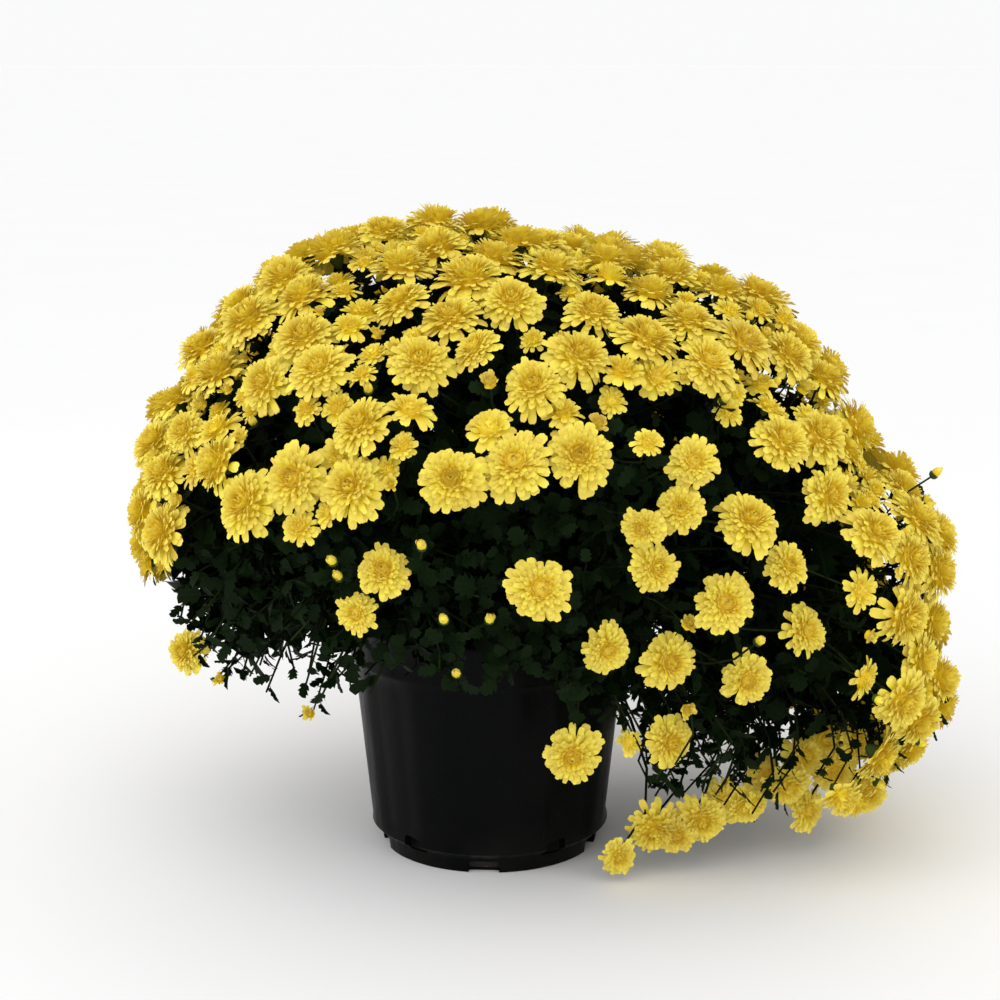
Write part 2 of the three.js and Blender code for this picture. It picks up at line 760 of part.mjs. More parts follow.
/** The whole plant in its pot, one mesh for each piece. */
function potChrysanthemum() {
  const blooms = layOutBlooms();
  const count = 1 + Math.max(...blooms.map((b) => b.cluster));
  const clusters = Array.from({ length: count }, (_, cluster) =>
    clusterSolid(blooms.filter((b) => b.cluster === cluster)),
  );
  const thicket = thicketSolid(blooms);
  const stems = MAIN_STEMS.map((stem) => makeStem(stem, thicket));
  const pot = potSolid();
  const soil = soilSolid(stems.map((stem) => stem.foot));
  const obstacles = [pot, soil, ...clusters];
  for (const stem of stems) {
    stem.thicket = stemThicket(thicket, stem, stems);
    stem.parts.push(stem.thicket);
  }
  growClusterTwigs(stems, obstacles, blooms);
  for (const [x, y, z] of BUDS) {
    const centre = new THREE.Vector3(x, y, z);
    const axis = centre.clone().sub(HEART).normalize();
    const end = centre.clone().addScaledVector(axis, -3);
    growTwig(stems, obstacles, end, axis, budSolid(centre, axis));
  }
  growLeaves(stems, obstacles, blooms);
  const numbered = (name, i) => `${name}_${String(i + 1).padStart(2, "0")}`;
  const plant = new THREE.Group();
  plant.name = "pot_chrysanthemum";
  plant.add(makeMesh("pot", pot, COLOURS.pot, 0.45));
  plant.add(makeMesh("soil", soil, COLOURS.soil, 0.95));
  stems.forEach(({ parts }, i) =>
    plant.add(makeMesh(numbered("stem", i), joined(parts, STEM.detail), COLOURS.stem, 0.75)),
  );
  clusters.forEach((cluster, i) =>
    plant.add(makeMesh(numbered("blooms", i), cluster, COLOURS.bloom, 0.6)),
  );
  return plant;
}

export default potChrysanthemum();
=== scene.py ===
"""A potted chrysanthemum: double yellow blooms over dark lobed leaves in a black nursery pot.

Sizes are in millimetres until a mesh is made. +Z is up, -Y is the front, and the origin is
the middle of the pot's underside.
"""

import logging
import math
from dataclasses import dataclass, field
from enum import Enum
from typing import Iterable, Sequence

import bpy
import numpy as np
from bpy.types import ID, Material, Mesh, Node, NodeSocket, NodeTree, Object
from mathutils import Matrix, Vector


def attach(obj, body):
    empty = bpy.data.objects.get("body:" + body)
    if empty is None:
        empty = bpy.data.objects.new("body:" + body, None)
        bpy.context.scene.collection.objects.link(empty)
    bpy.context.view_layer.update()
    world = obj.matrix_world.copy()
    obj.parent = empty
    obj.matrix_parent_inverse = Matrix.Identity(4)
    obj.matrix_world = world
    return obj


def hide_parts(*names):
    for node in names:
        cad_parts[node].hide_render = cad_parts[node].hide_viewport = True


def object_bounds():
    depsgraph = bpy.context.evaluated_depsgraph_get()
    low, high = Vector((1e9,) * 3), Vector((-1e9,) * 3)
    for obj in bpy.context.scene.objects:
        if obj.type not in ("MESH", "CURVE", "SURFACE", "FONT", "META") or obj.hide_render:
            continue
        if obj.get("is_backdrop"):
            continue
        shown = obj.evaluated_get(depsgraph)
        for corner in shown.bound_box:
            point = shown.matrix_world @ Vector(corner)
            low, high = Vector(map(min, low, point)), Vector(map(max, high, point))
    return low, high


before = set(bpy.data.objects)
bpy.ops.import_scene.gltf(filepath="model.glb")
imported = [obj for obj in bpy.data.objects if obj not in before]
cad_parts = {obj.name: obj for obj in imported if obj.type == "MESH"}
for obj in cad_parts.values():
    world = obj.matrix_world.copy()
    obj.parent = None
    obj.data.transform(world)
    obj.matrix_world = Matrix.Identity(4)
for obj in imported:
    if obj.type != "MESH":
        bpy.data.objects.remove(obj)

Array = np.ndarray
Colour = tuple[float, float, float]

LOG = logging.getLogger("pot_chrysanthemum")
MM = 0.001
TAU = 2.0 * math.pi
GOLDEN_ANGLE = math.radians(137.508)
HEART = np.array([0.0, 0.0, 210.0])
UP = np.array([0.0, 0.0, 1.0])
MAP_NAME = "OFBake"
MAP_MARGIN = 0.06
GOLDEN_SHARE = 0.618
CUBE_CORNERS = np.array([(x, y, z) for x in (-1, 1) for y in (-1, 1) for z in (-1, 1)], dtype=float)
CUBE_FACES = ((0, 1, 3, 2), (4, 6, 7, 5), (0, 4, 5, 1), (2, 3, 7, 6), (0, 2, 6, 4), (1, 5, 7, 3))


# ---- numbers and vectors


def unit(vectors: Array) -> Array:
    """Vectors scaled to a length of one."""
    return vectors / np.maximum(np.linalg.norm(vectors, axis=-1, keepdims=True), 1e-9)


def lerp(low: float, high: float, share: float) -> float:
    """Number a share of the way from low to high."""
    return (1 - share) * low + share * high


def smooth(value: Array) -> Array:
    """Smooth step from 0 to 1."""
    value = np.clip(value, 0.0, 1.0)
    return value * value * (3 - 2 * value)


def between(keys: Sequence[float], values: Sequence[float], key: float) -> float:
    """Value at a key, in straight lines between the entries of a table.

    Args:
        keys: Rising keys.
        values: One value for each key.
        key: Where to read the table. Outside the keys the end values hold.

    Returns:
        The value at the key.
    """
    return float(np.interp(key, keys, values))


def direction(azimuth: float, elevation: float) -> Array:
    """Unit vector at an azimuth and an elevation in degrees."""
    a, e = math.radians(azimuth), math.radians(elevation)
    return np.array([math.cos(e) * math.cos(a), math.cos(e) * math.sin(a), math.sin(e)])


def angles_of(toward: Array) -> tuple[float, float]:
    """Azimuth and elevation of a unit vector, in degrees."""
    azimuth = math.degrees(math.atan2(toward[1], toward[0]))
    return azimuth, math.degrees(math.asin(max(-1.0, min(1.0, toward[2]))))


def frames_along(axes: Array) -> Array:
    """Right-handed frames with their third axis along the given axes.

    Args:
        axes: Unit vectors, one in each row.

    Returns:
        One 3x3 matrix for each axis, with the frame's axes as its columns.
    """
    side = np.where(np.abs(axes[:, 2:3]) > 0.9, [[1.0, 0.0, 0.0]], [[0.0, 0.0, 1.0]])
    first = unit(np.cross(side, axes))
    return np.stack([first, np.cross(axes, first), axes], axis=-1)


def bezier(points: Array, shares: Array) -> Array:
    """Points on cubic Bezier curves.

    Args:
        points: Control points of each curve, in an array of curves x 4 x 3.
        shares: Where to read every curve, from 0 to 1.

    Returns:
        An array of curves x shares x 3.
    """
    t = shares[None, :, None]
    a, b, c, d = (points[:, i, None, :] for i in range(4))
    return (1 - t) ** 3 * a + 3 * t * (1 - t) ** 2 * b + 3 * t**2 * (1 - t) * c + t**3 * d


class SeededDraw:
    """Numbers from 0 to 1 that come out the same on every run."""

    def __init__(self, seed: int) -> None:
        """Starts the sequence that belongs to a seed."""
        self.state = seed

    def __call__(self) -> float:
        """The next number of the sequence."""
        mask = 0xFFFFFFFF
        self.state = (self.state + 0x6D2B79F5) & mask
        t = ((self.state ^ (self.state >> 15)) * (1 | self.state)) & mask
        t = ((t + (((t ^ (t >> 7)) * (61 | t)) & mask)) & mask) ^ t
        return (t ^ (t >> 14)) / 4294967296


# ---- meshes


@dataclass
class MeshBatch:
    """Patches of one piece, gathered as arrays and made into one mesh."""

    points: list[Array] = field(default_factory=list)
    tones: list[Array] = field(default_factory=list)
    ages: list[Array] = field(default_factory=list)
    places: list[Array] = field(default_factory=list)
    patches: list[Array] = field(default_factory=list)
    faces: list[Array] = field(default_factory=list)
    slots: list[Array] = field(default_factory=list)
    vertices: int = 0
    cells: int = 0

    def add_sheets(self, points: Array, tones: Array, ages: Array, slot: int) -> None:
        """Adds sheets that share one grid.

        Args:
            points: Places in millimetres, as sheets x rows x columns x 3.
            tones: Along, across, rank and a random share, as sheets x rows x columns x 4.
            ages: One number for each sheet.
            slot: Material slot of the sheets.
        """
        count, rows, columns = points.shape[:3]
        if count == 0:
            return
        index = np.arange(rows * columns).reshape(rows, columns)
        corners = [index[:-1, :-1], index[:-1, 1:], index[1:, 1:], index[1:, :-1]]
        grid = np.stack([corner.ravel() for corner in corners], axis=-1)
        starts = self.vertices + rows * columns * np.arange(count)
        self.faces.append((starts[:, None, None] + grid[None]).reshape(-1, 4))
        self.slots.append(np.full(len(self.faces[-1]), slot))
        across, along = np.meshgrid(np.linspace(0, 1, columns), np.linspace(0, 1, rows))
        place = np.stack([across.ravel(), along.ravel()], axis=-1)
        self._keep(points, tones, ages, np.tile(place, (count, 1)), rows * columns)

    def add_tubes(self, paths: Array, radii: Array, sides: int, tones: Array, slot: int) -> None:
        """Adds round tubes.

        Args:
            paths: Middle lines in millimetres, as tubes x stations x 3.
            radii: Radius at each station, as tubes x stations.
            sides: Corners of each ring.
            tones: Rank of each tube, from 0 for young and green to 1 for old and woody.
            slot: Material slot of the tubes.
        """
        count, stations = paths.shape[:2]
        if count == 0:
            return
        ways = unit(np.gradient(paths, axis=1))
        chords = unit(paths[:, -1] - paths[:, 0])
        side = frames_along(chords)[:, :, 0]
        first = unit(side[:, None] - ways * (side[:, None] * ways).sum(-1, keepdims=True))
        second = np.cross(ways, first)
        angles = np.linspace(0, TAU, sides + 1)
        ring = (
            first[:, :, None] * np.cos(angles)[None, None, :, None]
            + second[:, :, None] * np.sin(angles)[None, None, :, None]
        )
        points = paths[:, :, None] + ring * radii[:, :, None, None]
        tone = np.empty((count, stations, sides + 1, 4))
        tone[..., 0] = np.linspace(0, 1, stations)[None, :, None]
        tone[..., 1] = np.linspace(0, 1, sides + 1)[None, None, :]
        tone[..., 2] = tones[:, None, None]
        tone[..., 3] = (np.arange(count) * GOLDEN_SHARE % 1)[:, None, None]
        self.add_sheets(points, tone, np.zeros(count), slot)

    def add_solids(self, shape: Array, faces: Array, places: Array, slot: int) -> None:
        """Adds copies of a small solid.

        Args:
            shape: Corners of the solid.
            faces: Corner numbers of its four-sided faces.
            places: One 3x4 matrix for each copy, in millimetres.
            slot: Material slot of the copies.
        """
        count, corners = len(places), len(shape)
        points = np.einsum("pij,vj->pvi", places[:, :, :3], shape) + places[:, None, :, 3]
        starts = self.vertices + corners * np.arange(count)
        self.faces.append((starts[:, None, None] + faces[None]).reshape(-1, 4))
        self.slots.append(np.full(len(self.faces[-1]), slot))
        flat = 0.5 + 0.5 * shape[:, :2] / np.abs(shape).max()
        tone = np.empty((count, corners, 4))
        tone[...] = (np.arange(count) * GOLDEN_SHARE % 1)[:, None, None]
        self._keep(points, tone, np.zeros(count), np.tile(flat, (count, 1)), corners)

    def _keep(self, points: Array, tones: Array, ages: Array, place: Array, each: int) -> None:
        """Keeps what the vertices of new patches hold.

        Args:
            points: Places of the vertices, patch by patch.
            tones: What the tone attribute holds at each of them.
            ages: One number for each patch.
            place: Where each vertex lies on its patch's square of the map.
            each: Vertices of one patch.
        """
        count = len(points)
        self.points.append(points.reshape(-1, 3))
        self.tones.append(np.broadcast_to(tones, points.shape[:-1] + (4,)).reshape(-1, 4))
        self.ages.append(np.repeat(ages, each))
        self.places.append(place)
        self.patches.append(np.repeat(self.cells + np.arange(count), each))
        self.vertices += count * each
        self.cells += count

    def make(self, name: str, materials: Sequence[Material]) -> Object:
        """Makes the mesh and its object.

        Args:
            name: Name of the piece.
            materials: One material for each slot.

        Returns:
            The new object, linked to the scene.
        """
        corners = np.concatenate(self.faces)
        mesh = bpy.data.meshes.new(name)
        mesh.vertices.add(self.vertices)
        mesh.vertices.foreach_set("co", (np.concatenate(self.points) * MM).ravel())
        mesh.loops.add(corners.size)
        mesh.loops.foreach_set("vertex_index", corners.ravel())
        mesh.polygons.add(len(corners))
        mesh.polygons.foreach_set("loop_start", 4 * np.arange(len(corners)))
        mesh.polygons.foreach_set("material_index", np.concatenate(self.slots))
        mesh.polygons.foreach_set("use_smooth", np.ones(len(corners), dtype=bool))
        for material in materials:
            mesh.materials.append(material)
        tone = mesh.attributes.new("tone", "FLOAT_COLOR", "POINT")
        tone.data.foreach_set("color", np.concatenate(self.tones).ravel())
        age = mesh.attributes.new("age", "FLOAT", "POINT")
        age.data.foreach_set("value", np.concatenate(self.ages))
        self._lay_map(mesh, corners)
        mesh.update(calc_edges=True)
        mesh.validate()
        return new_object(name, mesh)

    def _lay_map(self, mesh: Mesh, corners: Array) -> None:
        """Gives every patch a square of its own on the piece's map.

        Args:
            mesh: The new mesh.
            corners: Vertex numbers of its faces.
        """
        side = math.ceil(math.sqrt(self.cells))
        patch = np.concatenate(self.patches)
        inside = MAP_MARGIN + (1 - 2 * MAP_MARGIN) * np.concatenate(self.places)
        spots = np.stack([patch % side, patch // side], axis=-1)
        layer = mesh.uv_layers.new(name=MAP_NAME)
        layer.uv.foreach_set("vector", ((spots + inside) / side)[corners.ravel()].ravel())


def new_object(name: str, data: ID) -> Object:
    """A new object, linked to the scene.

    Args:
        name: Name of the object.
        data: Its mesh, light or camera.

    Returns:
        The object.
    """
    made = bpy.data.objects.new(name, data)
    bpy.context.scene.collection.objects.link(made)
    return made


def lathe_mesh(name: str, rings: Array, low: Array, high: Array) -> Mesh:
    """A closed mesh from stacked rings.

    Args:
        name: Name of the mesh.
        rings: Places in millimetres, as rings x corners x 3, anticlockwise from above on the
            outside of the solid.
        low: Middle of the cap that closes the first ring.
        high: Middle of the cap that closes the last ring.

    Returns:
        The new mesh, in metres.
    """
    count, corners = rings.shape[:2]
    points = np.vstack([rings.reshape(-1, 3), low, high]) * MM
    ring = np.arange(corners)
    turned = np.roll(ring, -1)
    faces: list[tuple[int, ...]] = []
    for k in range(count - 1):
        quads = np.stack([ring, turned, turned + corners, ring + corners], axis=-1) + k * corners
        faces += [tuple(quad) for quad in quads.tolist()]
    first, last = count * corners, count * corners + 1
    top = (count - 1) * corners
    faces += [(first, int(b), int(a)) for a, b in zip(ring, turned)]
    faces += [(last, int(a) + top, int(b) + top) for a, b in zip(ring, turned)]
    mesh = bpy.data.meshes.new(name)
    mesh.from_pydata(points.tolist(), [], faces)
    mesh.update()
    return mesh


def place_piece(piece: Object, slot: str, *nodes: str) -> None:
    """Ties a piece to the fixed body and hides the solids that it stands for.

    Args:
        piece: The piece.
        slot: Material slot that its finish belongs to; not used.
        *nodes: Names of the solids.
    """
    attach(piece, "root")
    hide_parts(*nodes)
    LOG.info("%s: %d faces, for %s", piece.name, len(piece.data.polygons), ", ".join(nodes))


# ---- materials


class Shades:
    """A short way to lay out the nodes of one material or group."""

    def __init__(self, tree: NodeTree) -> None:
        """Works in a node tree."""
        self.tree = tree

    def node(self, kind: str, **settings: object) -> Node:
        """A new node.

        Args:
            kind: Type of the node.
            **settings: Its properties by name.

        Returns:
            The node.
        """
        node = self.tree.nodes.new(kind)
        for name, value in settings.items():
            setattr(node, name, value)
        return node

    def feed(self, socket: NodeSocket, value: object) -> None:
        """Links a socket to another one, or sets it to a number or a colour.

        Args:
            socket: The input socket.
            value: An output socket, a number or a colour.
        """
        if isinstance(value, NodeSocket):
            self.tree.links.new(value, socket)
        elif isinstance(value, tuple) and socket.type == "RGBA":
            socket.default_value = (*value, 1.0)
        else:
            socket.default_value = value

    def math(self, operation: str, *values: object, clamp: bool = False) -> NodeSocket:
        """Result of a Math node.

        Args:
            operation: What the node does.
            *values: Its inputs, in order.
            clamp: Whether the result is held from 0 to 1.

        Returns:
            The result's socket.
        """
        node = self.node("ShaderNodeMath", operation=operation, use_clamp=clamp)
        for socket, value in zip(node.inputs, values):
            self.feed(socket, value)
        return node.outputs[0]

    def mix(self, share: object, first: object, second: object) -> NodeSocket:
        """Colour between two others.

        Args:
            share: How far to go to the second one, from 0 to 1.
            first: Colour at 0.
            second: Colour at 1.

        Returns:
            The colour's socket.
        """
        node = self.node("ShaderNodeMix", data_type="RGBA")
        self.feed(node.inputs[0], share)
        self.feed(node.inputs[6], first)
        self.feed(node.inputs[7], second)
        return node.outputs[2]

    def span(
        self, value: object, low: float, high: float, to: tuple[float, float] = (0.0, 1.0),
    ) -> NodeSocket:
        """Value mapped smoothly to another span.

        Args:
            value: The value.
            low: Where the first end of the new span is reached.
            high: Where its second end is reached.
            to: The two ends, which hold past low and high.

        Returns:
            The mapped value's socket.
        """
        node = self.node("ShaderNodeMapRange", interpolation_type="SMOOTHSTEP")
        self.feed(node.inputs["Value"], value)
        for name, number in zip(("From Min", "From Max", "To Min", "To Max"), (low, high, *to)):
            self.feed(node.inputs[name], number)
        return node.outputs["Result"]

    def vary(self, mask: object, middle: float, reach: tuple[float, float]) -> NodeSocket:
        """Middle value, moved by a mask from the low end of its reach to the high one."""
        return self.span(mask, 0.0, 1.0, (middle + reach[0], middle + reach[1]))

    def place(self) -> NodeSocket:
        """Place on the object, in metres."""
        return self.node("ShaderNodeTexCoord").outputs["Object"]

    def noise(self, scale: object, detail: float = 3.0, where: object = None) -> NodeSocket:
        """Soft noise from 0 to 1.

        Args:
            scale: Waves in a metre.
            detail: Number of finer layers.
            where: Place to read it at, or None for the place on the object.

        Returns:
            The noise's socket.
        """
        node = self.node("ShaderNodeTexNoise")
        self.feed(node.inputs["Vector"], self.place() if where is None else where)
        self.feed(node.inputs["Scale"], scale)
        self.feed(node.inputs["Detail"], detail)
        return node.outputs["Fac"]

    def bump(
        self, height: NodeSocket, strength: float, distance: float,
    ) -> NodeSocket:
        """Normal raised by a height.

        Args:
            height: Height, from 0 to 1.
            strength: How much of the bump is used.
            distance: Height in metres that 1 stands for.

        Returns:
            The normal's socket.
        """
        node = self.node("ShaderNodeBump")
        self.feed(node.inputs["Height"], height)
        self.feed(node.inputs["Strength"], strength)
        self.feed(node.inputs["Distance"], distance)
        return node.outputs["Normal"]

    def group(self, group: NodeTree, **values: object) -> dict[str, NodeSocket]:
        """Places a group with its own values.

        Args:
            group: The node group.
            **values: What each input takes, by its name.

        Returns:
            The group's outputs by name.
        """
        node = self.node("ShaderNodeGroup", node_tree=group)
        for name, value in values.items():
            self.feed(node.inputs[name], value)
        return {socket.name: socket for socket in node.outputs}

    def tone(self) -> tuple[NodeSocket, ...]:
        """What the tone attribute holds.

        Returns:
            Sockets of along, across, rank and the random share of a patch.
        """
        node = self.node("ShaderNodeAttribute", attribute_name="tone")
        parts = self.node("ShaderNodeSeparateColor")
        self.feed(parts.inputs[0], node.outputs["Color"])
        return (*parts.outputs[:3], node.outputs["Alpha"])


def new_group(name: str, inputs: dict[str, float], outputs: Iterable[str]) -> Shades:
    """Starts a shader node group.

    Args:
        name: Name of the group.
        inputs: Default of each numeric input.
        outputs: Names of the numeric outputs.

    Returns:
        The group's layout, with its input and output nodes named In and Out.
    """
    tree = bpy.data.node_groups.new(name, "ShaderNodeTree")
    for key, value in inputs.items():
        socket = tree.interface.new_socket(name=key, in_out="INPUT", socket_type="NodeSocketFloat")
        socket.default_value = value
    for key in outputs:
        tree.interface.new_socket(name=key, in_out="OUTPUT", socket_type="NodeSocketFloat")
    shades = Shades(tree)
    shades.node("NodeGroupInput", name="In")
    shades.node("NodeGroupOutput", name="Out")
    return shades


@dataclass
class Effects:
    """The groups that more than one material uses."""

    veins: NodeTree = field(init=False)
    mottle: NodeTree = field(init=False)
    grit: NodeTree = field(init=False)

    def __post_init__(self) -> None:
        """Builds every group once."""
        self.veins = self._build_veins()
        self.mottle = self._build_mottle()
        self.grit = self._build_grit()

    def _build_veins(self) -> NodeTree:
        """Lines that run up a blade and lean out to its edges."""
        defaults = {"Along": 0.0, "Across": 0.5, "Count": 6.0, "Lean": 0.0, "Width": 0.3}
        shades = new_group("Veins", defaults, ["Lines", "Rib"])
        inputs = shades.tree.nodes["In"].outputs
        side = shades.math("ABSOLUTE", shades.math("SUBTRACT", inputs["Across"], 0.5))
        run = shades.math("MULTIPLY", inputs["Along"], inputs["Lean"])
        phase = shades.math("MULTIPLY", shades.math("SUBTRACT", side, run), inputs["Count"])
        wave = shades.math("PINGPONG", phase, 0.5)
        lines = shades.math("SUBTRACT", 1.0, shades.math("DIVIDE", wave, inputs["Width"]), clamp=True)
        rib = shades.math("SUBTRACT", 1.0, shades.math("DIVIDE", side, 0.05), clamp=True)
        shades.feed(shades.tree.nodes["Out"].inputs["Lines"], lines)
        shades.feed(shades.tree.nodes["Out"].inputs["Rib"], rib)
        return shades.tree

    def _build_mottle(self) -> NodeTree:
        """Soft patches of a size."""
        shades = new_group("Mottle", {"Scale": 40.0, "Low": 0.4, "High": 0.65}, ["Mask"])
        inputs = shades.tree.nodes["In"].outputs
        noise = shades.noise(inputs["Scale"])
        reach = shades.math("SUBTRACT", inputs["High"], inputs["Low"])
        part = shades.math("DIVIDE", shades.math("SUBTRACT", noise, inputs["Low"]), reach, clamp=True)
        shades.feed(shades.tree.nodes["Out"].inputs["Mask"], part)
        return shades.tree

    def _build_grit(self) -> NodeTree:
        """Fine grains: a height for bumps and a mask of scattered specks."""
        shades = new_group("Grit", {"Scale": 400.0, "Amount": 0.2}, ["Height", "Specks"])
        inputs = shades.tree.nodes["In"].outputs
        cells = shades.node("ShaderNodeTexVoronoi", feature="F1")
        shades.feed(cells.inputs["Vector"], shades.place())
        shades.feed(cells.inputs["Scale"], inputs["Scale"])
        pick = shades.node("ShaderNodeSeparateColor")
        shades.feed(pick.inputs[0], cells.outputs["Color"])
        chosen = shades.math("LESS_THAN", pick.outputs[0], inputs["Amount"])
        near = shades.math("LESS_THAN", cells.outputs["Distance"], 0.35)
        shades.feed(shades.tree.nodes["Out"].inputs["Specks"], shades.math("MULTIPLY", chosen, near))
        height = shades.noise(inputs["Scale"], 2.0)
        shades.feed(shades.tree.nodes["Out"].inputs["Height"], height)
        return shades.tree


def new_material(name: str) -> tuple[Material, Shades, Node]:
    """A new node material.

    Args:
        name: Name of the material.

    Returns:
        The material, the layout of its nodes and its Principled BSDF.
    """
    material = bpy.data.materials.new(name)
    material.use_nodes = True
    return material, Shades(material.node_tree), material.node_tree.nodes["Principled BSDF"]


@dataclass(frozen=True)
class PetalFinish:
    """Lemon petals, golden in a bloom's middle, with fine striations, painted shade at their feet and
    between them, and a faint painted glow.
    """

    name: str
    tip: Colour
    body: Colour
    base: Colour
    faded: Colour
    roughness: float = 0.68
    sheen: float = 0.04
    # Strength of the painted glow: the petals give off a faint light of their own colour.
    painted_glow: float = 0.06
    specular: float = 0.1
    rough_reach: tuple[float, float] = (-0.06, 0.08)
    tip_span: tuple[float, float] = (0.25, 0.95)
    # Painted shade: the feet of the petals turn a darker golden, where the petals over them would shade
    # them; the inner whorls turn golden as the bloom's real heart does.
    gold_and_shade_span: tuple[float, float] = (0.27, 1.0)
    painted_foot_shade: float = 0.7
    gold_inner: float = 0.30
    # Share of the darker lines along the petals: partly striations, partly painted shade in the grooves
    # between petals.
    vein_share: float = 0.36
    edge_span: tuple[float, float] = (0.3, 1.0)
    edge_share: float = 0.75
    hues: tuple[float, float] = (0.492, 0.506)
    values: tuple[float, float] = (0.93, 1.04)

    def make(self, effects: Effects) -> Material:
        """Builds the material.

        Args:
            effects: The shared groups.

        Returns:
            The material.
        """
        material, shades, surface = new_material(self.name)
        along, across, rank, chance = shades.tone()
        age = shades.node("ShaderNodeAttribute", attribute_name="age").outputs["Fac"]
        toward_tip = shades.span(along, *self.tip_span)
        outer = shades.mix(toward_tip, self.body, self.tip)
        # Painted shade at the petals' feet, added to the real golden heart of the inner whorls.
        low = shades.math("MULTIPLY", shades.math("SUBTRACT", 1.0, along), self.painted_foot_shade)
        inner = shades.math("MULTIPLY", rank, self.gold_inner)
        gold_and_shade = shades.span(shades.math("ADD", inner, low), *self.gold_and_shade_span)
        colour = shades.mix(gold_and_shade, outer, self.base)
        veins = shades.group(effects.veins, Along=along, Across=across, Count=7.0, Lean=0.1, Width=0.4)
        # Darker golden lines along each petal: partly its fine striations, partly painted shade in the
        # grooves between petals.
        lines = shades.math("MULTIPLY", veins["Lines"], self.vein_share)
        colour = shades.mix(lines, colour, self.base)
        mottle = shades.group(effects.mottle, Scale=70.0, Low=0.34, High=0.72)
        edge = shades.span(along, *self.edge_span, (0.0, self.edge_share))
        edge = shades.math("MULTIPLY", edge, mottle["Mask"])
        colour = shades.mix(shades.math("MULTIPLY", edge, age), colour, self.faded)
        tint = shades.node("ShaderNodeHueSaturation")
        shades.feed(tint.inputs["Color"], colour)
        shades.feed(tint.inputs["Hue"], shades.span(chance, 0.0, 1.0, self.hues))
        shades.feed(tint.inputs["Value"], shades.span(chance, 0.0, 1.0, self.values))
        shades.feed(surface.inputs["Base Color"], tint.outputs["Color"])
        # Painted glow: the petals give off a faint light in their own colour, in place of the light that
        # thin petals let pass.
        shades.feed(surface.inputs["Emission Color"], tint.outputs["Color"])
        surface.inputs["Emission Strength"].default_value = self.painted_glow
        rough = shades.vary(mottle["Mask"], self.roughness, self.rough_reach)
        shades.feed(surface.inputs["Roughness"], rough)
        shades.feed(surface.inputs["Normal"], shades.bump(veins["Lines"], 0.3, 0.0003))
        surface.inputs["Sheen Weight"].default_value = self.sheen
        surface.inputs["Specular IOR Level"].default_value = self.specular
        return material


@dataclass(frozen=True)
class LeafFinish:
    """Dark matt leaves with paler veins and undersides."""

    name: str
    face: Colour
    young: Colour
    vein: Colour
    under: Colour
    roughness: float = 0.55
    rough_reach: tuple[float, float] = (-0.08, 0.12)
    specular: float = 0.035
    mottle_share: float = 0.5
    young_span: tuple[float, float] = (0.6, 1.0)
    young_share: float = 0.9
    vein_share: float = 0.55
    under_share: float = 0.75

    def make(self, effects: Effects) -> Material:
        """Builds the material.

        Args:
            effects: The shared groups.

        Returns:
            The material.
        """
        material, shades, surface = new_material(self.name)
        along, across, _, chance = shades.tone()
        mottle = shades.group(effects.mottle, Scale=60.0, Low=0.35, High=0.7)
        patches = shades.math("MULTIPLY", mottle["Mask"], self.mottle_share)
        colour = shades.mix(patches, self.face, self.young)
        youth = shades.span(chance, *self.young_span, (0.0, self.young_share))
        colour = shades.mix(youth, colour, self.young)
        veins = shades.group(effects.veins, Along=along, Across=across, Count=4.5, Lean=-1.1, Width=0.09)
        lines = shades.math("MAXIMUM", veins["Lines"], veins["Rib"])
        colour = shades.mix(shades.math("MULTIPLY", lines, self.vein_share), colour, self.vein)
        behind = shades.node("ShaderNodeNewGeometry").outputs["Backfacing"]
        colour = shades.mix(shades.math("MULTIPLY", behind, self.under_share), colour, self.under)
        shades.feed(surface.inputs["Base Color"], colour)
        rough = shades.vary(mottle["Mask"], self.roughness, self.rough_reach)
        shades.feed(surface.inputs["Roughness"], rough)
        shades.feed(surface.inputs["Normal"], shades.bump(lines, 0.5, 0.0006))
        surface.inputs["Specular IOR Level"].default_value = self.specular
        return material


@dataclass(frozen=True)
class StemFinish:
    """Ribbed green stems that turn brown and woody with age."""

    name: str
    green: Colour
    woody: Colour
    spread: tuple[float, float]
    roughness: float = 0.6
    rough_reach: tuple[float, float] = (-0.1, 0.15)
    specular: float = 0.05
    mottle_share: float = 0.25
    rib_share: float = 0.25

    def make(self, effects: Effects) -> Material:
        """Builds the material.

        Args:
            effects: The shared groups.

        Returns:
            The material.
        """
        material, shades, surface = new_material(self.name)
        along, across, rank, chance = shades.tone()
        mottle = shades.group(effects.mottle, Scale=120.0, Low=0.4, High=0.65)
        patches = shades.math("MULTIPLY", mottle["Mask"], self.mottle_share)
        colour = shades.mix(shades.math("ADD", rank, patches, clamp=True), self.green, self.woody)
        veins = shades.group(effects.veins, Along=along, Across=across, Count=8.0, Lean=0.0, Width=0.5)
        ribs = shades.math("MULTIPLY", veins["Lines"], self.rib_share)
        colour = shades.mix(ribs, colour, self.woody)
        tint = shades.node("ShaderNodeHueSaturation")
        shades.feed(tint.inputs["Color"], colour)
        shades.feed(tint.inputs["Value"], shades.span(chance, 0.0, 1.0, self.spread))
        shades.feed(surface.inputs["Base Color"], tint.outputs["Color"])
        rough = shades.vary(mottle["Mask"], self.roughness, self.rough_reach)
        shades.feed(surface.inputs["Roughness"], rough)
        shades.feed(surface.inputs["Normal"], shades.bump(veins["Lines"], 0.4, 0.0003))
        surface.inputs["Specular IOR Level"].default_value = self.specular
        return material


